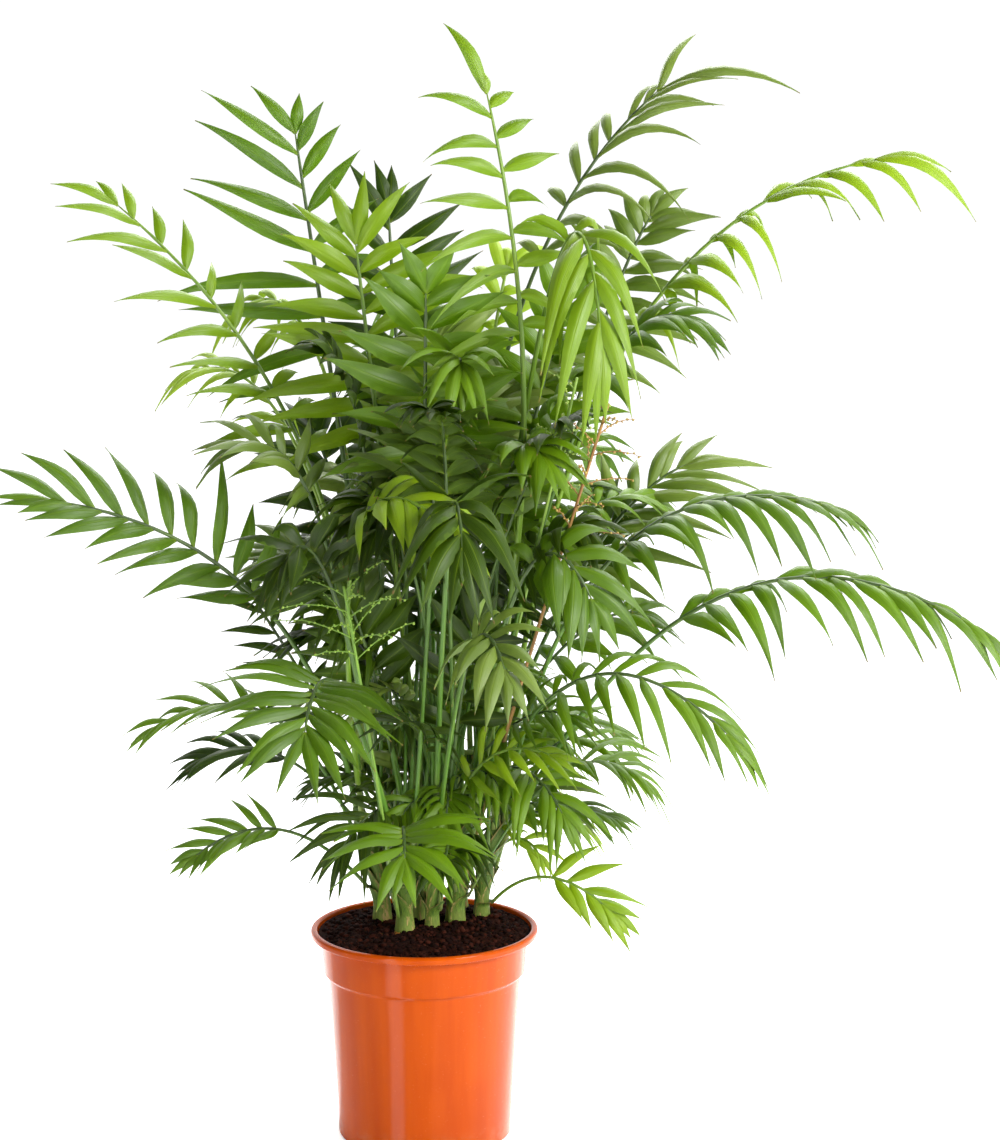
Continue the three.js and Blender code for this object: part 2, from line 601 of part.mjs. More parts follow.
// ---------------------------------------------------------------- leaflets
// A leaflet is a three-sided blade. It leaves the far half of the rib at a point, heads out and
// sinks towards its tip.
function makeLeaflet({ root, sunk, heading, upper, length, width, droop }, lift, margin = 0) {
  const out = heading(lift);
  const reach = (length + margin) / (1 + LEAF_SLACK * droop);
  const thickness = LEAF_THICKNESS + margin;
  const start = root.clone().addScaledVector(out, -sunk);
  const bend = root.clone().addScaledVector(out, reach * LEAF_BEND);
  const tip = root.clone().addScaledVector(out, reach).addScaledVector(UPWARD, -droop * reach);
  const curve = new THREE.QuadraticBezierCurve3(start, bend, tip);
  const across = out.clone().cross(upper).normalize();
  const rows = LEAF_STATIONS.length - 1;
  return follow(new THREE.SphereGeometry(1, LEAF_SIDES, rows).scale(1, 0.5, 1), (x, height, z) => {
    const row = Math.round(height * rows);
    const spread = Math.hypot(x, z) || 1;
    const onward = curve.getTangent(LEAF_STATIONS[row]);
    const side = across.clone().addScaledVector(onward, -across.dot(onward)).normalize();
    const top = side.clone().cross(onward);
    return curve
      .getPoint(LEAF_STATIONS[row])
      .addScaledVector(side, (x / spread / Math.sqrt(3)) * (width + margin) * LEAF_WIDTHS[row])
      .addScaledVector(top, (z / spread / 1.5) * thickness * LEAF_WIDTHS[row]);
  });
}

// The longest leaflets stand a third of the way along the leafy part of a rib.
function leafletSize(u) {
  return SIZE_LEAST + (1 - SIZE_LEAST) * Math.sin(Math.PI * (SIZE_FROM + SIZE_RUN * u));
}

// Where each leaflet of a frond stands, by the rule that every frond shares. The heading turns
// about the rib by the extra degrees it is given.
function* leafletPlans(plan, index) {
  const random = seeded(SEED + index * FROND_SEED_STEP);
  const near = nearWith(random);
  const curve = ribCurve(plan);
  const face = vec(plan.face).normalize();
  const [rightLength, leftLength, width] = plan.leaf;
  const [lowAngle, tipAngle] = plan.spread;
  const [endSize, endAngle] = plan.end ?? [LAST_SIZE, tipAngle / 2];
  for (let pair = 0; pair <= plan.pairs; pair++) {
    const last = pair === plan.pairs;
    const u = pair / plan.pairs;
    for (const hand of [1, -1]) {
      const place = pair + FIRST_PLACE + hand * PAIR_OFFSET + near(0, PAIR_OFFSET / 2);
      const share = last ? LAST_PAIR : plan.bare + ((1 - plan.bare) * place) / plan.pairs;
      const { along, side, upper } = ribFrame(curve, face, share);
      const usual = last ? endAngle : lowAngle + (tipAngle - lowAngle) * u ** ANGLE_FALL;
      const swept = hand < 0 ? usual * (plan.sweep ?? 1) : usual;
      const angle = turn(near(swept, ANGLE_SPREAD));
      const raise = near(RAISE, RAISE_SPREAD);
      const size = (last ? endSize : leafletSize(u)) * near(1, SIZE_SPREAD);
      const heading = (extra) =>
        along
          .clone()
          .multiplyScalar(Math.cos(angle))
          .addScaledVector(side, hand * Math.sin(angle) * Math.cos(turn(raise + extra)))
          .addScaledVector(upper, Math.sin(angle) * Math.sin(turn(raise + extra)));
      yield {
        root: ribPoint(curve, share),
        sunk: ribRadius(plan, share) / 2,
        heading,
        upper,
        length: (hand > 0 ? rightLength : leftLength) * size,
        width: width * (WIDTH_KEPT + (1 - WIDTH_KEPT) * size),
        droop: plan.droop * (DROOP_LOW - DROOP_FALL * u) * near(1, DROOP_SPREAD),
      };
    }
  }
}

// ---------------------------------------------------------------- flower stalks
// Thin branches stand around the upper part of a stalk, each a little further round than the
// one below it. A branch is made as a very narrow leaflet.
function makeBranches(plan, index) {
  const near = nearWith(seeded(SEED + STALK_SEED + index * STALK_SEED_STEP));
  const curve = ribCurve(plan);
  const face = vec(plan.face).normalize();
  return Array.from({ length: plan.branches }, (_, i) => {
    const share = 1 - BRANCHED_SHARE * (1 - i / plan.branches);
    const { along, side, upper } = ribFrame(curve, face, share);
    const out = along
      .clone()
      .multiplyScalar(BRANCH_FORWARD)
      .addScaledVector(side, Math.cos(i * BRANCH_TURN))
      .addScaledVector(upper, Math.sin(i * BRANCH_TURN))
      .normalize();
    return makeLeaflet({
      root: ribPoint(curve, share),
      sunk: ribRadius(plan, share) / 2,
      heading: () => out,
      upper,
      length: plan.reach * near(1, BRANCH_SPREAD),
      width: BRANCH_WIDTH,
      droop: BRANCH_DROOP,
    });
  });
}

// ---------------------------------------------------------------- building
function material(color, roughness) {
  return new THREE.MeshStandardMaterial({ color, roughness, metalness: 0 });
}

// Every cane and rib is in place before the first leaflet, so that leaflets keep clear of them.
const solids = new Map();
solids.set("pot", makePot());
solids.set("soil", makeSoil());
for (const [name, cane] of Object.entries(CANES)) {
  solids.set("cane_" + name, makeCane(cane));
}
for (const plan of FRONDS) {
  solids.set("frond_" + plan.name, makeRib(plan));
}
for (const plan of FLOWER_STALKS) {
  solids.set(plan.name, makeRib(plan));
}

function clashes(solid, own) {
  return [...solids].some(([name, other]) => name !== own && touches(solid, other));
}

// The first turn and length at which a leaflet is clear of every other piece, and of the leaflets
// of its own frond away from the rib. It is tried a little larger than it is made.
function clearLeaflet(leaflet, own, siblings) {
  for (const share of LEAF_LENGTHS) {
    const trial = { ...leaflet, length: leaflet.length * share };
    for (const lift of LEAF_LIFTS) {
      const wide = makeLeaflet(trial, lift, LEAF_MARGIN);
      const crowded = siblings.some((other) => shared(wide, other) > ROOT_OVERLAP);
      if (!crowded && !clashes(wide, own)) return makeLeaflet(trial, lift);
    }
  }
  return null;
}

FRONDS.forEach((plan, index) => {
  const own = "frond_" + plan.name;
  const leaflets = [];
  for (const leaflet of leafletPlans(plan, index)) {
    const clear = clearLeaflet(leaflet, own, leaflets);
    if (clear) leaflets.push(clear);
  }
  const whole = leaflets.reduce((frond, leaflet) => frond.add(leaflet), solids.get(own));
  solids.set(own, largestPiece(whole));
});

FLOWER_STALKS.forEach((plan, index) => {
  const clear = makeBranches(plan, index).filter((branch) => !clashes(branch, plan.name));
  const whole = clear.reduce((stalk, branch) => stalk.add(branch), solids.get(plan.name));
  solids.set(plan.name, largestPiece(whole));
});

// A scrap that a join leaves loose is dropped.
function largestPiece(solid) {
  return solid.decompose().reduce((best, piece) => (piece.volume() > best.volume() ? piece : best));
}

const caneMaterial = material(CANE_COLOUR, 0.6);
const leafMaterials = new Map(
  Object.entries(TONES).map(([tone, colour]) => [tone, material(colour, 0.45)]),
);
addNode("pot", solids.get("pot"), material(POT_COLOUR, 0.32));
addNode("soil", solids.get("soil"), material(SOIL_COLOUR, 0.95));
for (const name of Object.keys(CANES)) {
  addNode("cane_" + name, solids.get("cane_" + name), caneMaterial);
}
for (const plan of FRONDS) {
  addNode("frond_" + plan.name, solids.get("frond_" + plan.name), leafMaterials.get(plan.tone));
}
for (const plan of FLOWER_STALKS) {
  addNode(plan.name, solids.get(plan.name), material(plan.colour, 0.6));
}

export default plant;
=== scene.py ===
# %% [markdown]
# # A parlour palm in its nursery pot
#
# A parlour palm is a clump. Short green canes stand close together in the soil, and every cane
# carries long fronds: a bare stalk below, then two rows of narrow leaflets on a thin rib. This
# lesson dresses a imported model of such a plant. The solids of that model say where each cane and
# rib stands and how far the crown reaches. Every piece made here stands in for some of them.
#
# The order is: the plan of the plant, the rule that it grows by, helpers for meshes and shaders,
# pot, soil, canes, sheaths, ribs, leaflets, flower stalks, and at the end the floor, the lights
# and the camera.

# %% Load the frame
import math

import bpy
import numpy as np
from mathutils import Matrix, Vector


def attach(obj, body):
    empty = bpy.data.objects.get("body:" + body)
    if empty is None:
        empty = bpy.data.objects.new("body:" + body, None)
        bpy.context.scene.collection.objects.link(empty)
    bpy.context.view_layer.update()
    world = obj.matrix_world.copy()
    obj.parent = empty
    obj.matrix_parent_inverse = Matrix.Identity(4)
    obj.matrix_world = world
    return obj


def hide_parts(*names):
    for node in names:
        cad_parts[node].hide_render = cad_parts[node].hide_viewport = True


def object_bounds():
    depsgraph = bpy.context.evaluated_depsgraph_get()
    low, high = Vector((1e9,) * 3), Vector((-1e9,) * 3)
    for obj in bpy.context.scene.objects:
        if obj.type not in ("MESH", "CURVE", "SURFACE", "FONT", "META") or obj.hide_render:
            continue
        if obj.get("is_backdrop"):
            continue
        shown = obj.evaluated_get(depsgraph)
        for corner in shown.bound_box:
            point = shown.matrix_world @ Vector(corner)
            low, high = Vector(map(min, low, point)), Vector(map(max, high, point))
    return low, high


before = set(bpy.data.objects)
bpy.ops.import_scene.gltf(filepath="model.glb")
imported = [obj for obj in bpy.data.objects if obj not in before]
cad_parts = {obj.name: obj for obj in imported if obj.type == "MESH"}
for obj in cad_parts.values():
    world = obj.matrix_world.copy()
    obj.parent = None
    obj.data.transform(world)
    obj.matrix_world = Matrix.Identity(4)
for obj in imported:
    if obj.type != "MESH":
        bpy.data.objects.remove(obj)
cad_box = [list(corner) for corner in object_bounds()]
print("box of the solids:", [[round(v, 3) for v in corner] for corner in cad_box])

# %% [markdown]
# ## Units and small helpers
#
# The plan of the plant is written in millimetres, as a grower would measure it, and a mesh is
# turned into metres when it is made. Directions are numpy arrays.

# %% Units and small helpers
MM = 0.001
UPWARD = np.array([0.0, 0.0, 1.0])
SEED = 20417
SEED_STEP = 101


def vec(values):
    return np.array(values, dtype=float)


def unit(vector):
    return vector / np.linalg.norm(vector)


def ease(low, high, x):
    """0 up to low, 1 from high on, and a smooth step between."""
    t = np.clip((np.asarray(x, float) - low) / (high - low), 0, 1)
    return t * t * (3 - 2 * t)


def only(piece):
    """Selects one object and nothing else."""
    bpy.ops.object.select_all(action="DESELECT")
    piece.select_set(True)
    bpy.context.view_layer.objects.active = piece


def smooth(piece, crease):
    """Shades a piece smooth, apart from edges that turn by more than the crease in degrees."""
    only(piece)
    bpy.ops.object.shade_smooth_by_angle(angle=math.radians(crease))


# %% [markdown]
# ## The plan of the plant
#
# A palm can't be drawn leaf by leaf, but its canes and fronds can be listed, because there are
# only a few dozen. A cane has a foot, the lean of its top, a height and a radius. A frond has its
# cane, the height on it where it starts, the point that its rib bends at, its tip, and the way
# its upper side looks. The numbers for its leaflets follow: length on either hand and width,
# angle to the rib low down and near the tip, and droop. They are the sizes that the solids were
# made from.

# %% Canes
CANES = {
    "left": dict(foot=(-46, 30), lean=(-24, 6), height=120, radius=11),
    "front_left": dict(foot=(-20, -14), lean=(-8, -14), height=90, radius=11),
    "front": dict(foot=(8, 2), lean=(4, -12), height=105, radius=8),
    "right": dict(foot=(32, 26), lean=(16, -4), height=150, radius=11.5),
    "far_right": dict(foot=(60, 46), lean=(26, 4), height=130, radius=9),
    "back_left": dict(foot=(-26, 64), lean=(-14, 12), height=150, radius=9.5),
    "back": dict(foot=(8, 62), lean=(0, 14), height=170, radius=9),
    "back_right": dict(foot=(36, 80), lean=(12, 16), height=150, radius=9),
    "middle": dict(foot=(-5, 32), lean=(-4, 2), height=190, radius=8.5),
}
# A frond's tone picks its leaf green. The deepest green paints in shade, and the pale grey-green paints
# in sheen.
FRONDS = [
    dict(name="tall_left", cane="back_left", rise=146, tone="mid", rib=3.4, bare=0.56, pairs=8,
         bend=(-95, 90, 760), tip=(-139, 120, 1056), face=(0, -1, 0.3),
         leaf=(112, 172, 22), spread=(80, 30), droop=0.26, end=(0.6, 22)),
    dict(name="upper_left", cane="middle", rise=186, tone="bright", rib=3.4, bare=0.58, pairs=7,
         bend=(-45, 30, 720), tip=(-70, 40, 936), face=(0.1, -1, 0.3),
         leaf=(150, 146, 32), spread=(78, 34), droop=0.28),
    dict(name="left_arching", cane="left", rise=116, tone="bright", rib=3.2, bare=0.5, pairs=9,
         bend=(-45, 44, 745), tip=(-318, 40, 976), face=(0.5, -0.7, 0.6),
         leaf=(84, 140, 18), spread=(64, 28), droop=0.3),
    dict(name="left_pale", cane="back_left", rise=100, tone="lime", rib=2.8, bare=0.6, pairs=6,
         bend=(-112, 92, 830), tip=(-240, 90, 804), face=(0.2, -0.4, 1),
         leaf=(88, 104, 14), spread=(56, 24), droop=0.6),
    dict(name="left_long", cane="left", rise=80, tone="mid", rib=3.2, bare=0.52, pairs=9,
         bend=(-104, 0, 630), tip=(-372, -60, 676), face=(0, -0.8, 0.7),
         leaf=(128, 92, 21), spread=(70, 18), droop=0.2, sweep=0.62),
    dict(name="left_slender", cane="back_left", rise=72, tone="deep", rib=2.4, bare=0.48, pairs=6,
         bend=(-104, 96, 430), tip=(-192, 120, 556), face=(0.3, -0.8, 0.5),
         leaf=(64, 84, 13), spread=(60, 24), droop=0.22),
    dict(name="left_low", cane="left", rise=62, tone="mid", rib=2.6, bare=0.5, pairs=6,
         bend=(-140, 30, 516), tip=(-284, 34, 428), face=(0.2, -0.3, 1),
         leaf=(74, 80, 15), spread=(48, 16), droop=0.15),
    dict(name="left_fan", cane="front_left", rise=84, tone="mid", rib=3, bare=0.7, pairs=6,
         bend=(-92, -100, 596), tip=(-104, -230, 471), face=(0, -1, 0.8),
         leaf=(118, 116, 27), spread=(75, 25), droop=0.12),
    dict(name="left_back_low", cane="back_left", rise=46, tone="deep", rib=2.2, bare=0.52, pairs=6,
         bend=(-150, 64, 440), tip=(-240, 74, 384), face=(0.2, -0.5, 1),
         leaf=(76, 80, 16), spread=(50, 20), droop=0.2),
    dict(name="left_lowest", cane="left", rise=34, tone="mid", rib=2.2, bare=0.5, pairs=6,
         bend=(-149, 4, 367), tip=(-240, 0, 296), face=(0.1, -0.6, 0.8),
         leaf=(62, 52, 15), spread=(50, 16), droop=0.1),
    dict(name="front_fan", cane="front_left", rise=50, tone="mid", rib=2.6, bare=0.66, pairs=6,
         bend=(-18, -90, 392), tip=(-13, -172, 336), face=(0, -0.75, 1),
         leaf=(98, 112, 24), spread=(82, 22), droop=0.16),
    dict(name="tallest", cane="right", rise=146, tone="bright", rib=4.2, bare=0.66, pairs=8,
         bend=(150, -84, 720), tip=(66, -30, 1084), face=(0.3, -1, 0.4),
         leaf=(76, 142, 20), spread=(74, 46), droop=0.5, end=(0.7, 10)),
    dict(name="top_right", cane="back_right", rise=146, tone="dusty", rib=3.4, bare=0.64, pairs=8,
         bend=(25, 104, 905), tip=(250, 130, 1100), face=(-0.5, -0.6, 0.7),
         leaf=(176, 100, 17), spread=(58, 20), droop=0.5, end=(1.3, 34)),
    dict(name="right_arching", cane="far_right", rise=126, tone="bright", rib=3.4, bare=0.54, pairs=9,
         bend=(134, 36, 955), tip=(466, 20, 1020), face=(-0.3, -0.5, 1),
         leaf=(128, 96, 24), spread=(56, 12), droop=0.8, end=(1, 8), sweep=0.5),
    dict(name="right_back_upper", cane="back_right", rise=104, tone="dusty", rib=3, bare=0.6, pairs=8,
         bend=(165, 152, 835), tip=(246, 182, 970), face=(-0.2, -1, 0.4),
         leaf=(112, 98, 28), spread=(72, 30), droop=0.35),
    dict(name="right_back_middle", cane="back_right", rise=74, tone="dusty", rib=2.8, bare=0.52, pairs=8,
         bend=(150, 110, 640), tip=(284, 130, 700), face=(-0.3, -0.9, 0.6),
         leaf=(150, 104, 19), spread=(60, 16), droop=0.3),
    dict(name="right_middle", cane="far_right", rise=96, tone="mid", rib=3.2, bare=0.46, pairs=9,
         bend=(149, -8, 740), tip=(420, -40, 668), face=(-0.1, -0.3, 1),
         leaf=(124, 96, 29), spread=(58, 14), droop=0.66, sweep=0.5),
    dict(name="right_long", cane="far_right", rise=70, tone="mid", rib=3.4, bare=0.42, pairs=10,
         bend=(276, -30, 717), tip=(556, -90, 552), face=(-0.1, -0.4, 1),
         leaf=(116, 92, 27), spread=(58, 14), droop=0.7, sweep=0.45),
    dict(name="right_low_front", cane="right", rise=74, tone="mid", rib=3, bare=0.4, pairs=8,
         bend=(134, -92, 614), tip=(304, -140, 452), face=(0, -0.5, 1),
         leaf=(104, 112, 18), spread=(60, 14), droop=0.45),
    dict(name="right_low", cane="far_right", rise=44, tone="mid", rib=2.4, bare=0.42, pairs=6,
         bend=(128, 64, 470), tip=(203, 44, 388), face=(-0.1, -0.3, 1),
         leaf=(72, 88, 14), spread=(56, 18), droop=0.3),
    dict(name="right_lower", cane="back_right", rise=44, tone="dusty", rib=2.2, bare=0.42, pairs=5,
         bend=(104, 84, 400), tip=(154, 66, 336), face=(-0.1, -0.4, 1),
         leaf=(60, 76, 13), spread=(56, 20), droop=0.25),
    dict(name="right_lowest", cane="far_right", rise=14, tone="bright", rib=2, bare=0.52, pairs=4,
         bend=(124, 4, 304), tip=(196, -14, 240), face=(-0.3, -0.7, 0.7),
         leaf=(62, 76, 16), spread=(44, 14), droop=0.12),
    dict(name="right_sprig", cane="back_right", rise=20, tone="lime", rib=1.9, bare=0.55, pairs=3,
         bend=(92, 62, 330), tip=(122, 54, 284), face=(-0.2, -0.7, 0.8),
         leaf=(50, 56, 10), spread=(50, 20), droop=0.3),
    dict(name="centre_left_front", cane="left", rise=92, tone="bright", rib=3, bare=0.58, pairs=6,
         bend=(-112, -110, 790), tip=(34, -172, 656), face=(0, -0.6, 1),
         leaf=(96, 96, 24), spread=(52, 14), droop=0.5),
    dict(name="left_middle", cane="left", rise=108, tone="dusty", rib=2.8, bare=0.58, pairs=5,
         bend=(-80, -62, 765), tip=(-180, -56, 730), face=(0.2, -0.4, 1),
         leaf=(96, 108, 26), spread=(56, 18), droop=0.35),
    dict(name="centre_front", cane="front", rise=100, tone="deep", rib=3, bare=0.54, pairs=5,
         bend=(31, -120, 801), tip=(45, -226, 645), face=(0, -1, 0.6),
         leaf=(116, 116, 34), spread=(58, 22), droop=0.5),
    dict(name="right_front", cane="right", rise=100, tone="mid", rib=2.8, bare=0.56, pairs=5,
         bend=(96, -92, 742), tip=(170, -126, 584), face=(0.2, -0.8, 0.8),
         leaf=(92, 100, 30), spread=(66, 24), droop=0.4),
    dict(name="right_upper_front", cane="right", rise=124, tone="mid", rib=3, bare=0.58, pairs=6,
         bend=(160, -40, 900), tip=(264, -60, 858), face=(-0.2, -0.4, 1),
         leaf=(92, 84, 26), spread=(52, 14), droop=0.6, sweep=0.7),
    dict(name="upper_back", cane="back", rise=166, tone="deep", rib=3, bare=0.62, pairs=5,
         bend=(-30, 104, 760), tip=(-40, 130, 974), face=(0.3, -1, 0.3),
         leaf=(108, 108, 30), spread=(70, 28), droop=0.12),
    dict(name="upper_left_pale", cane="back_left", rise=138, tone="lime", rib=2.8, bare=0.6, pairs=6,
         bend=(-84, 112, 950), tip=(-200, 132, 868), face=(0, -0.5, 1),
         leaf=(80, 90, 17), spread=(50, 16), droop=0.7),
    dict(name="back_pale", cane="back", rise=140, tone="lime", rib=3, bare=0.46, pairs=5,
         bend=(64, 126, 820), tip=(88, 172, 915), face=(0, -1, 0.5),
         leaf=(130, 130, 26), spread=(48, 18), droop=1),
    dict(name="low_front", cane="front", rise=76, tone="dusty", rib=2.6, bare=0.55, pairs=5,
         bend=(49, -160, 644), tip=(84, -260, 536), face=(-0.1, -0.8, 0.7),
         leaf=(84, 88, 26), spread=(66, 24), droop=0.4),
    dict(name="young_front", cane="front", rise=50, tone="bright", rib=2, bare=0.4, pairs=6,
         bend=(40, -46, 450), tip=(130, -80, 420), face=(0, -0.6, 0.8),
         leaf=(76, 72, 14), spread=(56, 20), droop=0.3),
    dict(name="left_front", cane="front_left", rise=34, tone="deep", rib=2.8, bare=0.55, pairs=5,
         bend=(-84, -84, 700), tip=(-130, -126, 624), face=(-0.2, -0.8, 0.7),
         leaf=(100, 100, 32), spread=(64, 24), droop=0.4),
    dict(name="right_back_low", cane="back_right", rise=56, tone="deep", rib=2.6, bare=0.5, pairs=5,
         bend=(104, 196, 540), tip=(206, 190, 632), face=(-0.3, -0.8, 0.6),
         leaf=(108, 104, 34), spread=(56, 20), droop=0.25),
    dict(name="left_back", cane="middle", rise=160, tone="deep", rib=2.8, bare=0.5, pairs=5,
         bend=(-70, 120, 620), tip=(-128, 176, 736), face=(0.3, -0.8, 0.6),
         leaf=(114, 114, 38), spread=(60, 22), droop=0.3),
    dict(name="upper_middle", cane="middle", rise=130, tone="mid", rib=3, bare=0.44, pairs=6,
         bend=(4, -34, 720), tip=(6, -62, 884), face=(0.1, -1, 0.3),
         leaf=(124, 124, 38), spread=(76, 34), droop=0.3),
    dict(name="upper_right", cane="back", rise=112, tone="mid", rib=3, bare=0.46, pairs=6,
         bend=(104, 62, 700), tip=(150, 72, 890), face=(0, -1, 0.4),
         leaf=(118, 118, 36), spread=(74, 30), droop=0.3),
    dict(name="low_left_inner", cane="middle", rise=70, tone="deep", rib=2.6, bare=0.5, pairs=5,
         bend=(-48, 10, 500), tip=(-74, -16, 560), face=(0.1, -1, 0.4),
         leaf=(96, 88, 32), spread=(58, 22), droop=0.3),
    dict(name="low_right_inner", cane="front", rise=20, tone="deep", rib=2.6, bare=0.48, pairs=5,
         bend=(34, -20, 480), tip=(56, -40, 545), face=(-0.1, -1, 0.4),
         leaf=(92, 100, 32), spread=(58, 22), droop=0.35),
    dict(name="right_hanging", cane="back_right", rise=126, tone="bright", rib=3, bare=0.6, pairs=6,
         bend=(150, -60, 1200), tip=(178, -140, 830), face=(0, -1, 0.6),
         leaf=(128, 120, 24), spread=(60, 16), droop=0.9),
    dict(name="inner_back", cane="back", rise=156, tone="deep", rib=2.8, bare=0.4, pairs=6,
         bend=(0, 66, 560), tip=(14, 50, 700), face=(0, -1, 0.3),
         leaf=(108, 108, 40), spread=(60, 22), droop=0.3),
    dict(name="rear_left", cane="back_left", rise=20, tone="mid", rib=2.8, bare=0.46, pairs=6,
         bend=(-105, 280, 634), tip=(-178, 400, 550), face=(0.1, 0.5, 1),
         leaf=(104, 104, 24), spread=(58, 18), droop=0.5),
    dict(name="rear_right", cane="back", rise=84, tone="mid", rib=3, bare=0.48, pairs=6,
         bend=(111, 290, 798), tip=(200, 410, 694), face=(-0.1, 0.5, 1),
         leaf=(110, 110, 24), spread=(58, 18), droop=0.5),
    dict(name="rear_low", cane="back", rise=50, tone="mid", rib=2.6, bare=0.44, pairs=6,
         bend=(18, 290, 551), tip=(32, 430, 414), face=(0, 0.6, 1),
         leaf=(96, 96, 22), spread=(58, 18), droop=0.4),
    dict(name="rear_high", cane="back", rise=124, tone="mid", rib=3.2, bare=0.58, pairs=6,
         bend=(4, 260, 984), tip=(-24, 390, 868), face=(0, 0.6, 1),
         leaf=(116, 116, 24), spread=(58, 18), droop=0.5),
]
FLOWER_STALKS = [
    dict(name="flower_stalk_right", cane="right", rise=40, rib=2.1,
         bend=(92, -74, 470), tip=(187, -92, 775), face=(0, -1, 0.5), branches=8, reach=62),
    dict(name="flower_stalk_middle", cane="right", rise=104, rib=1.9,
         bend=(98, -30, 540), tip=(156, -84, 800), face=(0, -1, 0.5), branches=6, reach=56),
    dict(name="flower_stalk_left", cane="front_left", rise=16, rib=1.9,
         bend=(-50, -76, 430), tip=(-74, -116, 596), face=(0, -1, 0.5), branches=9, reach=96),
]

# %% [markdown]
# ## The rule that the plant grows by
#
# Every build of the model has to give the same plant, so chance comes from one small random
# number generator with a seed for each frond. A cane bows a little to its own side. A rib is one
# quadratic curve: it leaves its cane at the foot, is drawn towards its bend, and ends at its tip.

# %% Chance
MASK = 0xFFFFFFFF


def seeded(seed):
    """A function that gives the next random number from 0 to 1 each time it is called."""
    state = [seed & MASK]

    def draw():
        state[0] = (state[0] + 0x6D2B79F5) & MASK
        t = state[0]
        t = ((t ^ (t >> 15)) * (t | 1)) & MASK
        t ^= (t + (((t ^ (t >> 7)) * (t | 61)) & MASK)) & MASK
        return (t ^ (t >> 14)) / 2**32

    return draw


def near_with(draw):
    """A function that gives a value that differs by chance, by no more than the spread."""
    return lambda value, spread: value + (draw() - 0.5) * 2 * spread


# %% Canes and ribs as curves
GAP = 0.3
GROUND = 220.0
CANE_FLARE = 1.35
CANE_TOP = 0.62
TOP_ZONE = 10
SHEATH_GAP = 1
RIB_TIP_RADIUS = 1.5
RIB_TAPER = 0.8


def cane_point(cane, share):
    x, y = vec(cane["foot"]) + vec(cane["lean"]) * share**2
    return vec([x, y, GROUND + cane["height"] * share])


def cane_radius(cane, share):
    flare = 1 + (CANE_FLARE - 1) * max(0, 1 - share * 4) ** 2
    return cane["radius"] * (1 - (1 - CANE_TOP) * share) * flare


def rib_start(plan):
    """On the cane's flat top, or beside the cane on the side that the rib leans to."""
    cane = CANES[plan["cane"]]
    share = min(1, plan["rise"] / cane["height"])
    start = cane_point(cane, share)
    rise = unit(vec(plan["bend"]) - start)
    if plan["rise"] > cane["height"] - TOP_ZONE:
        return cane_point(cane, 1) + UPWARD * (GAP + plan["rib"] * math.hypot(rise[0], rise[1]))
    out = unit(rise * [1, 1, 0])
    return start + out * (cane_radius(cane, share) + plan["rib"] + SHEATH_GAP)


def curve_point(curve, t):
    start, bend, tip = curve
    t = np.asarray(t, float)[..., None]
    return start * (1 - t) ** 2 + bend * (2 * t * (1 - t)) + tip * t**2


def curve_heading(curve, t):
    start, bend, tip = curve
    t = np.asarray(t, float)[..., None]
    slope = (bend - start) * (1 - t) + (tip - bend) * t
    return slope / np.linalg.norm(slope, axis=-1, keepdims=True)


def rib_curve(plan):
    return rib_start(plan), vec(plan["bend"]), vec(plan["tip"])


def rib_radius(plan, share):
    return RIB_TIP_RADIUS + (plan["rib"] - RIB_TIP_RADIUS) * (1 - share) ** RIB_TAPER


def rib_frame(curve, face, share):
    """Along, side and upper directions at one share of a rib."""
    along = curve_heading(curve, share)
    upper = unit(face - along * np.dot(face, along))
    return along, np.cross(along, upper), upper


# %% [markdown]
# Leaflets stand in pairs from the end of the bare stalk to the tip. They are longest a third of
# the way up, they lean forward more and more, and the last pair closes the frond like a tail. A
# real leaflet is also hooked at its tip and a little twisted, so the rule gives those two as
# well. The solids have broad leaflets, because a solid can't be cut very fine. Here they are
# narrower, and a frond whose solid is very broad gets more of them.

# %% Leaflets by rule
FIRST_PLACE = 0.3
PAIR_OFFSET = 0.12
LAST_PAIR = 0.995
LAST_SIZE = 0.56
RAISE = 16
ANGLE_FALL = 1.6
WIDTH_KEPT = 0.5
SIZE_LEAST, SIZE_FROM, SIZE_RUN = 0.45, 0.3, 0.62
DROOP_LOW, DROOP_FALL = 1.25, 0.6
SIZE_SPREAD, ANGLE_SPREAD, RAISE_SPREAD, DROOP_SPREAD = 0.07, 4, 7, 0.25
FINE_WIDTH = 0.95
BROAD, BROAD_WIDTH, BROAD_PAIRS = 25, 0.78, 1.25
TURN_QUIRK, LENGTH_QUIRK, DROOP_QUIRK = 8, 0.15, 0.55
TWIST_SPREAD = 42
HOOK_LEAST, HOOK_SPREAD = 0.4, 0.4


def leaflet_size(u):
    return SIZE_LEAST + (1 - SIZE_LEAST) * math.sin(math.pi * (SIZE_FROM + SIZE_RUN * u))


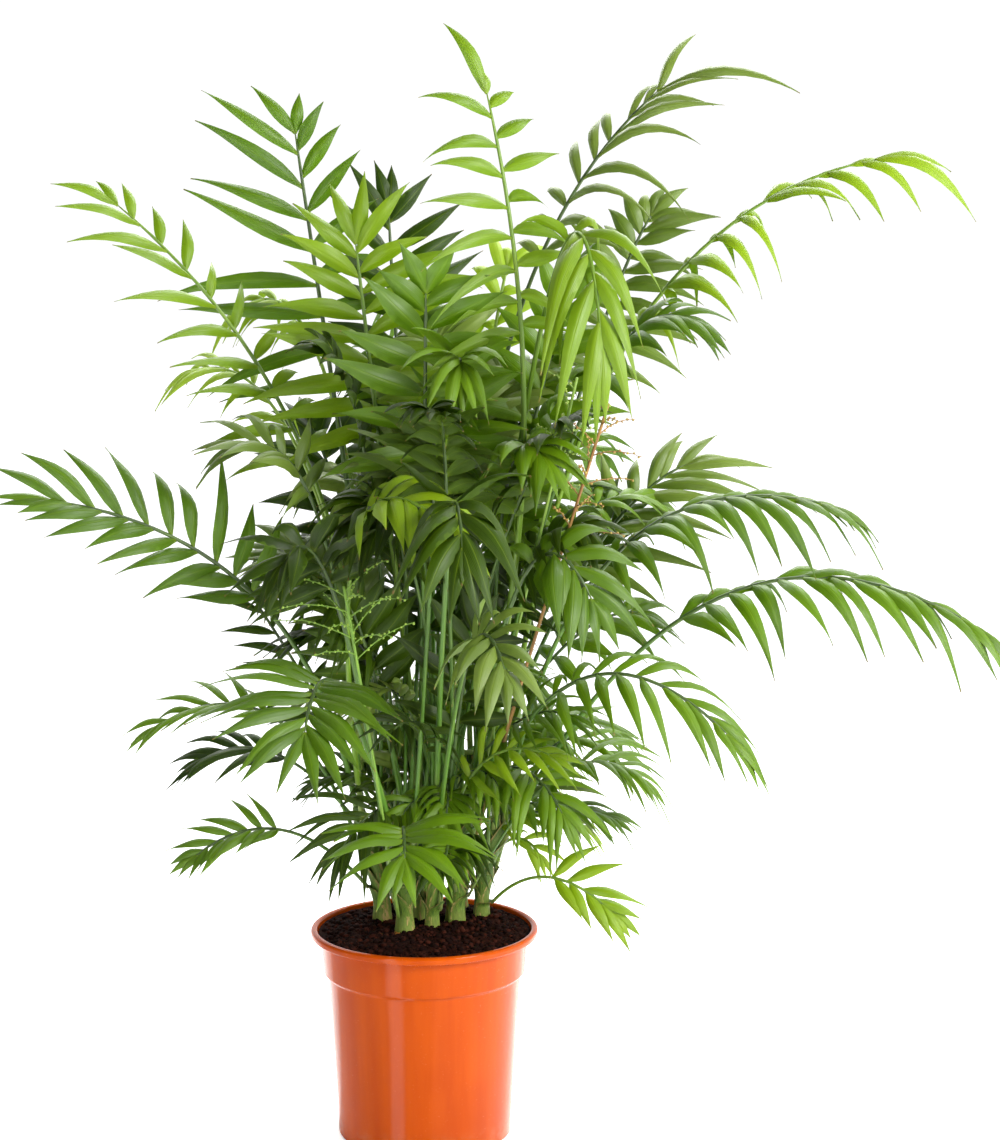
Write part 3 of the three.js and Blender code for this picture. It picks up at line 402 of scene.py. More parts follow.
def leaflet_plans(plan, index):
    """Each leaflet of a frond: root, heading, upper side, length, width, droop and its quirks."""
    draw = seeded(SEED + index * SEED_STEP)
    near = near_with(draw)
    quirk = near_with(seeded(SEED * 2 + index * SEED_STEP))
    curve, face = rib_curve(plan), unit(vec(plan["face"]))
    right, left, width = plan["leaf"]
    low, tip = plan["spread"]
    end_size, end_angle = plan.get("end", (LAST_SIZE, tip / 2))
    broad = width > BROAD
    pairs = round(plan["pairs"] * (BROAD_PAIRS if broad else 1))
    width *= BROAD_WIDTH if broad else FINE_WIDTH
    for pair in range(pairs + 1):
        last, u = pair == pairs, pair / pairs
        for hand in (1, -1):
            place = pair + FIRST_PLACE + hand * PAIR_OFFSET + near(0, PAIR_OFFSET / 2)
            share = plan["bare"] + (1 - plan["bare"]) * place / pairs
            share = LAST_PAIR if last else share
            along, side, upper = rib_frame(curve, face, share)
            usual = end_angle if last else low + (tip - low) * u**ANGLE_FALL
            usual *= plan.get("sweep", 1) if hand < 0 else 1
            angle = math.radians(near(usual, ANGLE_SPREAD) + quirk(0, TURN_QUIRK))
            raised = math.radians(near(RAISE, RAISE_SPREAD))
            size = (end_size if last else leaflet_size(u)) * near(1, SIZE_SPREAD)
            heading = along * math.cos(angle) + math.sin(angle) * (
                side * hand * math.cos(raised) + upper * math.sin(raised)
            )
            yield dict(
                root=curve_point(curve, share), heading=heading, upper=upper, along=along,
                length=(right if hand > 0 else left) * size * quirk(1, LENGTH_QUIRK),
                width=width * (WIDTH_KEPT + (1 - WIDTH_KEPT) * size),
                droop=plan["droop"] * (DROOP_LOW - DROOP_FALL * u) * near(1, DROOP_SPREAD)
                * quirk(1, DROOP_QUIRK),
                twist=math.radians(quirk(0, TWIST_SPREAD)),
                hook=HOOK_LEAST + quirk(HOOK_SPREAD, HOOK_SPREAD),
                wave=quirk(0, math.pi), shade=quirk(0, 1),
            )


# %% [markdown]
# The fronds of the plan are the ones that stand out. Between them the clump is full of younger
# fronds, which close the middle of the crown and shade it, and many of them take the deepest
# green, which paints more shade there. They need no plan of their own: each leaves the side of
# a cane in turn, a golden angle round from the last, and arches to a place that chance picks
# inside the crown. Upper ones are broad, and lower ones are small and narrow. A third lot
# reaches further out, but only on the far side, which would otherwise stay thin.

# %% Inner fronds by rule
GOLDEN_TURN = math.radians(137.5)
GOLDEN_SHARE = 0.618
TURN_SPREAD = 0.3
CANE_STRIDE = 4
CROWN_MIDDLE = vec([34, 24, 0])
# Many inner fronds take the deepest green, which paints shade into the middle of the crown. Some take
# the pale grey-green, which paints in sheen.
INNER_KINDS = (
    dict(count=26, seed=31, reach=(60, 190), height=(500, 850), leaf=(86, 124), width=(22, 34),
         pairs=(6, 9), bare=0.5, rib=2.4, droop=0.5, lift=(-60, 70), arc=None,
         tones=("deep", "mid", "deep", "mid", "dusty")),
    dict(count=24, seed=32, reach=(70, 205), height=(310, 480), leaf=(60, 92), width=(11, 15),
         pairs=(7, 10), bare=0.42, rib=1.7, droop=0.35, lift=(0, 80), arc=None,
         tones=("mid", "bright", "deep", "mid", "dusty")),
    dict(count=13, seed=33, reach=(170, 290), height=(340, 800), leaf=(80, 112), width=(15, 22),
         pairs=(7, 10), bare=0.5, rib=2.2, droop=0.4, lift=(0, 90), arc=(5, 175),
         tones=("mid", "deep", "mid", "dusty", "deep")),
)


def inner_fronds(kind):
    """The plans of one kind of inner frond, in the form of the plans above."""
    draw = seeded(SEED + kind["seed"])

    def between(low, high):
        return low + (high - low) * draw()

    for number in range(kind["count"]):
        cane = list(CANES)[(number * CANE_STRIDE + kind["seed"]) % len(CANES)]
        turn = number * GOLDEN_TURN + between(-TURN_SPREAD, TURN_SPREAD)
        if kind["arc"]:
            first, last = kind["arc"]
            turn = math.radians(first + (last - first) * (number * GOLDEN_SHARE % 1))
        out = vec([math.cos(turn), math.sin(turn), 0])
        reach, height = between(*kind["reach"]), between(*kind["height"])
        tip = CROWN_MIDDLE + out * reach + UPWARD * height
        bend = CROWN_MIDDLE + out * reach * between(0.35, 0.6)
        bend = bend + UPWARD * (height + between(*kind["lift"]))
        size = between(*kind["leaf"])
        yield dict(
            name="inner", cane=cane, rise=CANES[cane]["height"] * between(0.15, 0.85),
            tone=kind["tones"][number % len(kind["tones"])], rib=kind["rib"], bare=kind["bare"],
            pairs=round(between(*kind["pairs"])), bend=tuple(bend), tip=tuple(tip),
            face=tuple(UPWARD - out * between(0, 0.6) - vec([0, between(0, 0.8), 0])),
            leaf=(size, size * between(0.9, 1.1), between(*kind["width"])),
            spread=(between(54, 66), between(18, 26)), droop=kind["droop"] * between(0.7, 1.5),
        )


INNER = [plan for kind in INNER_KINDS for plan in inner_fronds(kind)]
print(len(FRONDS), "planned fronds and", len(INNER), "inner ones")

# %% [markdown]
# ## Many small shapes in one mesh
#
# A plant has thousands of small shapes. An object for each would be slow to draw and hard to
# keep, so shapes of one kind are gathered in arrays and handed to Blender as one mesh. Every
# face corner also gets a place on a map, so that a pattern can follow a leaflet or a stalk from
# foot to tip wherever it grows.

# %% A heap of shapes that becomes one mesh
MAP = "OFBake"


class Heap:
    """Gathers points, faces and map places, and makes one object of them."""

    def __init__(self):
        self.points, self.faces, self.places, self.count = [], [], [], 0

    def add(self, points, faces, places):
        """points is (n, 3) in millimetres. faces and places are lists of arrays, one for each
        number of corners that a face may have."""
        for block, where in zip(faces, places):
            self.faces.append(block + self.count)
            self.places.append(where)
        self.points.append(points)
        self.count += len(points)

    def add_rings(self, points, starts, stops, levels, caps):
        """A closed shell of rings of points, with its two ends as faces. The rings lie at
        levels on the map, and face k of each runs across it from starts[k] to stops[k]. Caps
        are the places across the map of an end's points."""
        rows, ring = len(levels), len(starts)
        here, after = np.tile(starts, rows - 1), np.tile(stops, rows - 1)
        low, high = np.repeat(levels[:-1], ring), np.repeat(levels[1:], ring)
        corners = ((here, low), (after, low), (after, high), (here, high))
        places = np.stack([np.stack(corner, -1) for corner in corners], axis=1)
        order = np.arange(ring)
        ends = np.stack([order[::-1], order + (rows - 1) * ring])
        first = np.stack([caps[::-1], np.full(ring, levels[0])], -1)
        last = np.stack([caps, np.full(ring, levels[-1])], -1)
        self.add(points, [ring_quads(rows, ring), ends], [places, np.stack([first, last])])

    def piece(self, name):
        corners = np.concatenate([block.ravel() for block in self.faces]).astype(np.int32)
        sizes = np.concatenate([np.full(len(b), b.shape[1]) for b in self.faces])
        starts = np.concatenate([[0], np.cumsum(sizes)[:-1]]).astype(np.int32)
        mesh = bpy.data.meshes.new(name)
        mesh.vertices.add(self.count)
        mesh.vertices.foreach_set("co", (np.concatenate(self.points) * MM).ravel())
        mesh.loops.add(len(corners))
        mesh.loops.foreach_set("vertex_index", corners)
        mesh.polygons.add(len(sizes))
        mesh.polygons.foreach_set("loop_start", starts)
        mesh.update(calc_edges=True)
        layer = mesh.uv_layers.new(name=MAP)
        places = np.concatenate([where.reshape(-1, 2) for where in self.places])
        layer.data.foreach_set("uv", places.astype(np.float32).ravel())
        mesh.shade_smooth()
        piece = bpy.data.objects.new(name, mesh)
        bpy.context.scene.collection.objects.link(piece)
        print(name, len(mesh.polygons), "faces")
        return piece


def ring_quads(rows, ring):
    """Faces between rings of points that follow each other, pointing outwards."""
    row, place = np.meshgrid(np.arange(rows - 1), np.arange(ring), indexing="ij")
    here, after = row * ring + place, row * ring + (place + 1) % ring
    return np.stack([here, after, after + ring, here + ring], axis=-1).reshape(-1, 4)


def add_tube(heap, centres, sides, uppers, radii, corners, band=(0, 1)):
    """A closed tube round a path. Its map runs up the band from foot to tip."""
    angle = -np.arange(corners) / corners * 2 * np.pi
    ring = sides[:, None] * np.cos(angle)[None, :, None]
    ring = ring + uppers[:, None] * np.sin(angle)[None, :, None]
    points = (centres[:, None] + ring * np.asarray(radii)[:, None, None]).reshape(-1, 3)
    levels = band[0] + (band[1] - band[0]) * np.linspace(0, 1, len(centres))
    turn = np.arange(corners) / corners
    heap.add_rings(points, turn, turn + 1 / corners, levels, np.full(corners, 0.5))


# %% [markdown]
# ## Shader maths in plain Python
#
# A shader in Blender is a web of nodes, and a sum such as *a quarter of the noise plus the
# stripe* takes two of them. The class below wraps one socket, so the same sum can be written
# `noise * 0.25 + stripe` and adds its own nodes. Any other node comes from one method.

# %% Shader maths
class Signal:
    """A value that travels through a material, with Python's own operators."""

    def __init__(self, net, socket):
        self.net, self.socket = net, socket

    def maths(self, operation, *values):
        return self.net.node("ShaderNodeMath", {"operation": operation}, *values)

    def __add__(self, other):
        return self.maths("ADD", self, other)

    def __radd__(self, other):
        return self.maths("ADD", other, self)

    def __sub__(self, other):
        return self.maths("SUBTRACT", self, other)

    def __rsub__(self, other):
        return self.maths("SUBTRACT", other, self)

    def __mul__(self, other):
        return self.maths("MULTIPLY", self, other)

    def __rmul__(self, other):
        return self.maths("MULTIPLY", other, self)

    def __abs__(self):
        return self.maths("ABSOLUTE", self)

    def floor(self):
        return self.maths("FLOOR", self)

    def sine(self):
        return self.maths("SINE", self)

    def eased(self, low, high):
        """0 up to low, 1 from high on, and a smooth step between."""
        settings = {"interpolation_type": "SMOOTHSTEP"}
        named = {"From Min": low, "From Max": high}
        return self.net.node("ShaderNodeMapRange", settings, self, **named)


class Net:
    """A material that is built node by node."""

    # The places of a mix node's share and two colours among its inputs, and of its result.
    MIX_SOCKETS, MIXED = (0, 6, 7), 2

    def __init__(self, name):
        self.material = bpy.data.materials.new(name)
        self.material.use_nodes = True
        self.tree = self.material.node_tree
        self.tree.nodes.clear()

    def node(self, kind, settings=None, *values, output=0, **named):
        """Adds a node. Settings come first, then its sockets by order, then by name."""
        node = self.tree.nodes.new(kind)
        for key, value in (settings or {}).items():
            setattr(node, key, value)
        for socket, value in zip(node.inputs, values):
            self.feed(socket, value)
        for key, value in named.items():
            self.feed(node.inputs[key], value)
        return Signal(self, node.outputs[output])

    def feed(self, socket, value):
        if isinstance(value, Signal):
            self.tree.links.new(value.socket, socket)
        elif socket.type == "RGBA" and len(value) == 3:
            socket.default_value = (*value, 1)
        else:
            socket.default_value = value

    def mix(self, share, first, second, blend="MIX"):
        """One colour turning into another as share goes from 0 to 1."""
        settings = {"data_type": "RGBA", "blend_type": blend}
        node = self.tree.nodes.new("ShaderNodeMix")
        for key, value in settings.items():
            setattr(node, key, value)
        for place, value in zip(self.MIX_SOCKETS, (share, first, second)):
            self.feed(node.inputs[place], value)
        return Signal(self, node.outputs[self.MIXED])

    def noise(self, where, scale, detail=3.0, roughness=0.55):
        named = {"Vector": where, "Scale": scale, "Detail": detail, "Roughness": roughness}
        return self.node("ShaderNodeTexNoise", None, **named)

    def object_place(self):
        return self.node("ShaderNodeTexCoord", output="Object")

    def map_place(self):
        """How far round or across, and how far along, from the piece's own map."""
        return self.parts(self.node("ShaderNodeUVMap", {"uv_map": MAP}))[:2]

    def parts(self, place):
        """The x, y and z of a place, each on its own."""
        apart = self.tree.nodes.new("ShaderNodeSeparateXYZ")
        self.feed(apart.inputs[0], place)
        return [Signal(self, socket) for socket in apart.outputs]

    def joined(self, *values):
        """A place made of its x and y, and its z where that is given."""
        return self.node("ShaderNodeCombineXYZ", None, *values)

    def drawn_out(self, place, scale, rotation=(0, 0, 0)):
        """A place to read a pattern at. The pattern is stretched where a scale is small."""
        return self.node("ShaderNodeMapping", None, place, Rotation=rotation, Scale=scale)

    def height(self, value, distance, strength=1.0):
        """A bump from a height, deep by that distance in metres."""
        named = {"Height": value, "Distance": distance, "Strength": strength}
        return self.node("ShaderNodeBump", None, **named)

    def surface(self, **sockets):
        return self.node("ShaderNodeBsdfPrincipled", None, **sockets)

    def finish(self, shader):
        last = self.tree.nodes.new("ShaderNodeOutputMaterial")
        self.feed(last.inputs["Surface"], shader)
        return self.material


def colour(hexa):
    """A colour written as 0xRRGGBB, as light that a shader can add up."""
    parts = np.array([hexa >> 16 & 255, hexa >> 8 & 255, hexa & 255]) / 255
    return tuple(np.where(parts <= 0.04045, parts / 12.92, ((parts + 0.055) / 1.055) ** 2.4))


def dress(piece, material):
    piece.data.materials.clear()
    piece.data.materials.append(material)


# %% [markdown]
# ## The pot
#
# It is a cheap nursery pot, moulded from glossy orange plastic. It has a rolled lip, a collar
# that steps in to a tapering body, and a foot with six small drain cut-outs. Such a form could
# be sculpted from a cylinder, but a moulded pot is a turned shape, so half of its section is
# drawn once and spun round the axis. The section has its rounded corners from the start,
# because they are what catches the light.

# %% A turned form
SPIN_STEPS = 144
ARC_STEPS = 5
WELD = 0.00002
TURNED_CREASE = 50


def rounded(corners):
    """A section of (radius, height, rounding) corners with an arc at each rounded one."""
    section = []
    for i, (x, z, rounding) in enumerate(corners):
        here = vec([x, z])
        if not rounding:
            section.append(here)
            continue
        before, after = vec(corners[i - 1][:2]), vec(corners[i + 1][:2])
        start = here + unit(before - here) * rounding
        end = here + unit(after - here) * rounding
        for t in np.linspace(0, 1, ARC_STEPS):
            section.append(start * (1 - t) ** 2 + here * (2 * t * (1 - t)) + end * t**2)
    return section


def turned_form(name, section):
    """Draws a section point by point and spins it round the upright axis."""
    bpy.ops.object.select_all(action="DESELECT")
    bpy.ops.mesh.primitive_plane_add(size=MM)
    piece = bpy.context.object
    piece.name = piece.data.name = name
    bpy.ops.object.mode_set(mode="EDIT")
    bpy.ops.mesh.merge(type="CENTER")
    here = vec([0, 0])
    for number, point in enumerate(section):
        x, z = (point - here) * MM
        if number:
            bpy.ops.mesh.extrude_vertices_move(TRANSFORM_OT_translate={"value": (x, 0, z)})
        else:
            bpy.ops.transform.translate(value=(x, 0, z))
        here = point
    bpy.ops.mesh.select_all(action="SELECT")
    bpy.ops.mesh.spin(steps=SPIN_STEPS, angle=2 * math.pi, center=(0, 0, 0), axis=(0, 0, 1))
    bpy.ops.mesh.select_all(action="SELECT")
    bpy.ops.mesh.remove_doubles(threshold=WELD)
    bpy.ops.mesh.normals_make_consistent(inside=False)
    bpy.ops.object.mode_set(mode="OBJECT")
    print(name, len(piece.data.polygons), "faces")
    return piece


def pick(piece, wanted):
    """Selects the vertices that a rule on their place asks for, and enters edit mode."""
    only(piece)
    bpy.ops.object.mode_set(mode="EDIT")
    bpy.ops.mesh.select_mode(type="VERT")
    bpy.ops.mesh.select_all(action="DESELECT")
    bpy.ops.object.mode_set(mode="OBJECT")
    for vertex in piece.data.vertices:
        vertex.select = bool(wanted(vertex.co / MM))
    bpy.ops.object.mode_set(mode="EDIT")


# %% The pot's section
POT_HEIGHT, LIP_RADIUS, LIP_WIDTH, LIP_HEIGHT = 220, 120, 7, 8
COLLAR_RADIUS, COLLAR_FOOT_RADIUS, STEP_HEIGHT = 109.4, 106.8, 174
BODY_TOP_RADIUS, BODY_FOOT_RADIUS, WALL = 101.6, 92, 2.2
FOOT_HEIGHT, FOOT_WIDTH, PAD_RADIUS = 4, 8, 30
NOTCHES, NOTCH_WIDTH = 6, 30

under_lip = POT_HEIGHT - LIP_HEIGHT
inner_lip = LIP_RADIUS - LIP_WIDTH
foot_inner = BODY_FOOT_RADIUS - FOOT_WIDTH
pot_section = rounded([
    (0, 0, 0), (PAD_RADIUS, 0, 0.8), (PAD_RADIUS + 2, FOOT_HEIGHT, 0.8),
    (foot_inner - 2, FOOT_HEIGHT, 0.8), (foot_inner, 0, 1.2), (BODY_FOOT_RADIUS, 0, 1.6),
    (BODY_TOP_RADIUS, STEP_HEIGHT - 3, 2.2), (COLLAR_FOOT_RADIUS, STEP_HEIGHT, 1.8),
    (COLLAR_RADIUS, under_lip, 1.6), (LIP_RADIUS - 0.6, under_lip, 2.2),
    (LIP_RADIUS, POT_HEIGHT - 0.2, 3.4), (inner_lip, POT_HEIGHT, 2.6),
    (inner_lip - 0.6, under_lip + WALL, 1), (COLLAR_RADIUS - WALL, under_lip + WALL, 1),
    (COLLAR_FOOT_RADIUS - WALL, STEP_HEIGHT + WALL, 1),
    (BODY_TOP_RADIUS - WALL, STEP_HEIGHT - 3 + WALL, 1),
    (BODY_FOOT_RADIUS - WALL, FOOT_HEIGHT + WALL, 1), (0, FOOT_HEIGHT + WALL, 0),
])
pot = turned_form("nursery_pot", pot_section)

# %% Drain cut-outs in the foot
NOTCH_REACH = 0.7


def in_cut_out(place):
    """Whether a point of the foot's rim lies in one of the cut-outs."""
    turn = math.degrees(math.atan2(-place.x, place.y)) % (360 / NOTCHES)
    beside = min(turn, 360 / NOTCHES - turn)
    half = math.degrees(NOTCH_WIDTH / 2 / BODY_FOOT_RADIUS)
    on_rim = place.z < NOTCH_REACH and math.hypot(place.x, place.y) > foot_inner - 1
    return beside < half and on_rim


pick(pot, in_cut_out)
bpy.ops.transform.translate(value=(0, 0, (FOOT_HEIGHT - 1) * MM))
bpy.ops.object.mode_set(mode="OBJECT")
smooth(pot, TURNED_CREASE)
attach(pot, "root")
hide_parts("pot")
print("pot is", round(pot.dimensions.x, 4), "m wide and", round(pot.dimensions.z, 4), "m high")

# %% [markdown]
# The plastic is a strong orange that is a little uneven: faint upright flow lines from the
# mould, a darker cloud here and there, fine handling scratches, and dust near the foot. The
# gloss is nearly even, so roughness moves only a little. A coat would look like lacquer, and
# this is bare plastic, so none is used.

# %% Orange plastic
ORANGE_DARK, ORANGE_LIGHT, ORANGE_CLOUD = 0xB24406, 0xBE4E08, 0xA63C04
SCUFF_COLOUR, DUST_COLOUR = 0xE89A70, 0xB98A68
DUSTY_HEIGHT = 0.03
SCRATCH_TURN = (0.5, 0.7, 0.2)
PLASTIC_GLOSS = 0.11
net = Net("orange_plastic")
place = net.object_place()
height = net.parts(place)[2]
flow = net.noise(net.drawn_out(place, (1, 1, 0.06)), 46, 4)
cloud = net.noise(place, 9, 2)
scratch = net.noise(net.drawn_out(place, (1, 0.08, 1), SCRATCH_TURN), 420, 2)
scuffs = scratch.eased(0.66, 0.74)
dust = (1 - height.eased(0.0, DUSTY_HEIGHT)) * net.noise(place, 60, 4).eased(0.4, 0.75)
plastic = net.mix(flow.eased(0.3, 0.7), colour(ORANGE_DARK), colour(ORANGE_LIGHT))
plastic = net.mix(cloud.eased(0.45, 0.75) * 0.5, plastic, colour(ORANGE_CLOUD))
plastic = net.mix(scuffs * 0.12, plastic, colour(SCUFF_COLOUR))
plastic = net.mix(dust * 0.35, plastic, colour(DUST_COLOUR))
rough = 0.08 + flow * 0.04 + scuffs * 0.1 + dust * 0.25
peel = net.noise(place, 150, 2) * 0.6 + flow * 0.4
bump = net.height(peel, 0.0004, 0.35)
named = {"Base Color": plastic, "Roughness": rough, "Normal": bump}
named["Specular IOR Level"] = PLASTIC_GLOSS
dress(pot, net.finish(net.surface(**named)))
print("orange plastic:", len(net.tree.nodes), "nodes")

# %% [markdown]
# ## The soil
#
# Potting soil is nearly black peat: a surface with lumps of two or three centimetres, covered
# in crumbs, bits of bark and a few pale fibres. A bump alone looks painted when it is seen
# across the pot, so the lumps are real. The soil is a turned form, its top is given fine rings,
# and a displacement by a cloud pattern makes it uneven. Loose crumbs lie on it.

# %% Soil body
SOIL_EDGE, SOIL_CROWN, CROWN_RADIUS, CROWN_SLOPE = 215.4, 219.4, 84, 14
BED_GAP = 0.4
SOIL_RINGS = 44


def soil_level(radius):
    crowned = float(ease(inner_lip, CROWN_RADIUS - CROWN_SLOPE, radius))
    return SOIL_EDGE + (SOIL_CROWN - SOIL_EDGE) * crowned


bed = BODY_FOOT_RADIUS - WALL - BED_GAP
neck = COLLAR_RADIUS - WALL - BED_GAP
brim = inner_lip - 0.6 - BED_GAP
soil_section = [vec(p) for p in (
    (0, FOOT_HEIGHT + WALL + BED_GAP), (bed, FOOT_HEIGHT + WALL + BED_GAP),
    (BODY_TOP_RADIUS - WALL - BED_GAP - 0.6, STEP_HEIGHT - 3 + WALL), (neck - 3, STEP_HEIGHT + 6),
    (neck - 0.6, under_lip + WALL + 0.6), (brim - 0.6, under_lip + WALL + 0.6),
)]
soil_section += [vec((r, soil_level(r))) for r in np.linspace(brim - 0.4, 0, SOIL_RINGS)]
soil = turned_form("potting_soil", soil_section)

# %% Lumps in the soil
STILL_EDGE = 12
LUMPS = (("lumps", 0.022, 0.0075), ("crumble", 0.0055, 0.0035))
top = soil.vertex_groups.new(name="top")
for vertex in soil.data.vertices:
    x, y, z = vertex.co / MM
    if z > SOIL_EDGE - 0.5:
        inwards = float(ease(brim, brim - STILL_EDGE, math.hypot(x, y)))
        top.add([vertex.index], inwards, "REPLACE")
for name, size, strength in LUMPS:
    clouds = bpy.data.textures.new(name, "CLOUDS")
    clouds.noise_scale, clouds.noise_depth = size, 2
    push = soil.modifiers.new(name, "DISPLACE")
    push.texture, push.strength, push.mid_level = clouds, strength, 0.55
    push.direction, push.vertex_group, push.texture_coords = "Z", "top", "GLOBAL"
    only(soil)
    bpy.ops.object.modifier_apply(modifier=name)
smooth(soil, TURNED_CREASE)
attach(soil, "root")
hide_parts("soil")
print("soil is", round(soil.dimensions.z, 3), "m deep with", len(soil.data.vertices), "points")

# %% [markdown]
# Crumbs are twenty-sided grains, squashed and turned by chance. They sit on the lumps, so the
# height of the soil is looked up where each one falls. The map of a crumb holds six plain
# shades side by side, from black peat to tan bark, and a crumb is dealt one of them.

# %% Crumbs
GOLDEN = (1 + 5**0.5) / 2
GRAIN = np.array(
    [(-1, GOLDEN, 0), (1, GOLDEN, 0), (-1, -GOLDEN, 0), (1, -GOLDEN, 0), (0, -1, GOLDEN),
     (0, 1, GOLDEN), (0, -1, -GOLDEN), (0, 1, -GOLDEN), (GOLDEN, 0, -1), (GOLDEN, 0, 1),
     (-GOLDEN, 0, -1), (-GOLDEN, 0, 1)]) / math.hypot(1, GOLDEN)
GRAIN_FACES = np.array(
    [(0, 11, 5), (0, 5, 1), (0, 1, 7), (0, 7, 10), (0, 10, 11), (1, 5, 9), (5, 11, 4),
     (11, 10, 2), (10, 7, 6), (7, 1, 8), (3, 9, 4), (3, 4, 2), (3, 2, 6), (3, 6, 8), (3, 8, 9),
     (4, 9, 5), (2, 4, 11), (6, 2, 10), (8, 6, 7), (9, 8, 1)])
SHADES = 6
CRUMBS = 2600
CRUMB_LEAST, CRUMB_SPREAD, CRUMB_SQUASH = 0.8, 3.4, 0.72
CRUMB_EDGE, CRUMB_LIFT = 5, 0.15
SOIL_CELL = 4


def shade_places(count, corners, shade, draw):
    """A spot inside one shade's column of the map for every corner."""
    column = (shade + 0.5) / SHADES
    spots = np.array([[draw(), draw()] for _ in range(count * corners)]).reshape(count, corners, 2)
    return spots * [0.6 / SHADES, 0.8] + [column - 0.3 / SHADES, 0.1]


def add_grain(heap, centre, size, squash, draw, shade):
    """One grain, turned and dented by chance."""
    turns = np.linalg.qr(np.array([[draw() - 0.5 for _ in range(3)] for _ in range(3)]))[0]
    turns = turns if np.linalg.det(turns) > 0 else -turns
    dents = np.array([0.8 + 0.4 * draw() for _ in GRAIN])[:, None]
    points = (GRAIN * dents) @ turns.T * [1, 1, squash] * size + centre
    heap.add(points, [GRAIN_FACES], [shade_places(len(GRAIN_FACES), 3, shade, draw)])


levels = {}
for vertex in soil.data.vertices:
    x, y, z = vertex.co / MM
    if z > SOIL_EDGE - 6:
        levels.setdefault((round(x / SOIL_CELL), round(y / SOIL_CELL)), []).append(z)


def soil_at(x, y):
    """The height of the finished soil near a place."""
    column, row = round(x / SOIL_CELL), round(y / SOIL_CELL)
    for reach in range(3):
        near = [z for i in range(-reach, reach + 1) for j in range(-reach, reach + 1)
                for z in levels.get((column + i, row + j), [])]
        if near:
            return sum(near) / len(near)
    return SOIL_EDGE


draw = seeded(SEED + 5)
crumb_heap = Heap()
for _ in range(CRUMBS):
    radius, turn = (brim - CRUMB_EDGE) * math.sqrt(draw()), draw() * 2 * math.pi
    x, y = radius * math.cos(turn), radius * math.sin(turn)
    size = CRUMB_LEAST + CRUMB_SPREAD * draw() ** 3
    shade = min(SHADES - 1, int(SHADES * draw() ** 2.2))
    centre = vec([x, y, soil_at(x, y) + size * CRUMB_LIFT])
    add_grain(crumb_heap, centre, size, CRUMB_SQUASH, draw, shade)
crumbs = crumb_heap.piece("soil_crumbs")
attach(crumbs, "root")
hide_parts("soil")

# %% Peat
PEAT_DARK, PEAT_LIGHT, PEAT_PATCH, FIBRE_COLOUR = 0x130704, 0x33160E, 0x442216, 0x6B4A2E
PEAT_GLOSS = 0.06
net = Net("peat")
place = net.object_place()
fine = net.noise(place, 420, 6, 0.7)
patch = net.noise(place, 38, 3)
peat = net.mix(fine.eased(0.35, 0.7), colour(PEAT_DARK), colour(PEAT_LIGHT))
peat = net.mix(patch.eased(0.5, 0.72) * 0.5, peat, colour(PEAT_PATCH))
fibre = net.noise(net.drawn_out(place, (1, 0.12, 1)), 700, 2)
peat = net.mix(fibre.eased(0.7, 0.78) * 0.45, peat, colour(FIBRE_COLOUR))
bump = net.height(fine + patch * 0.4, 0.003, 0.9)
named = {"Base Color": peat, "Roughness": 0.86 + fine * 0.12, "Normal": bump}
named["Specular IOR Level"] = PEAT_GLOSS
dress(soil, net.finish(net.surface(**named)))

# %% Crumbs in six shades
CRUMB_DARK, CRUMB_LIGHT, GRIT_COLOUR = 0x150806, 0x411E14, 0x26110C
net = Net("peat_crumbs")
across, along = net.map_place()
shade = (across * SHADES).floor() * (1 / (SHADES - 1))
grit = net.noise(net.joined(across, along), 40, 3)
grain = net.mix(shade, colour(CRUMB_DARK), colour(CRUMB_LIGHT))
grain = net.mix(grit.eased(0.4, 0.7) * 0.5, grain, colour(GRIT_COLOUR))
bump = net.height(grit, 0.0006, 0.5)
named = {"Base Color": grain, "Roughness": 0.82 + grit * 0.14, "Normal": bump}
named["Specular IOR Level"] = PEAT_GLOSS
dress(crumbs, net.finish(net.surface(**named)))

# %% [markdown]
# ## The canes
#
# Each cane is a short green stem, thick at its foot, with raised rings where old fronds fell.
# A cane could be a curve with a round profile, but then the rings would need a second shape. A
# circle is extruded up along the cane instead, and each new ring of points is moved and resized,
# as a grower would see the cane swell at every joint.

# %% A cane, extruded ring by ring
CANE_SIDES = 24
CANE_SLIM = 0.7
JOINT_SPACING = 24
RING_STEP = 3.0
BURIED = 6
SWELL, SWELL_TOP, SWELL_END = 1.1, 0.16, 0.5
FOOT_SLIM, FOOT_SHARE = 0.25, 0.16
CANE_PHASE = 7
TOP_CHAMFER, TOP_INSET, TOP_DOME = 0.86, 0.4, 1.4
CANE_CREASE = 45


def joint_swell(height, phase):
    """Extra radius near a joint: a sharp lower edge and a soft upper one."""
    past = ((height + phase) % JOINT_SPACING) / JOINT_SPACING
    falling = 1 - float(ease(SWELL_TOP, SWELL_END, past))
    return SWELL * float(ease(0, SWELL_TOP, past)) * falling


def slim_radius(cane, share):
    """The bare stem inside the solid, which stands for the stem and its old sheaths."""
    slimming = 1 + FOOT_SLIM - FOOT_SLIM * float(ease(0, FOOT_SHARE, share))
    return cane_radius(cane, share) * (1 - (1 - CANE_SLIM) * slimming)


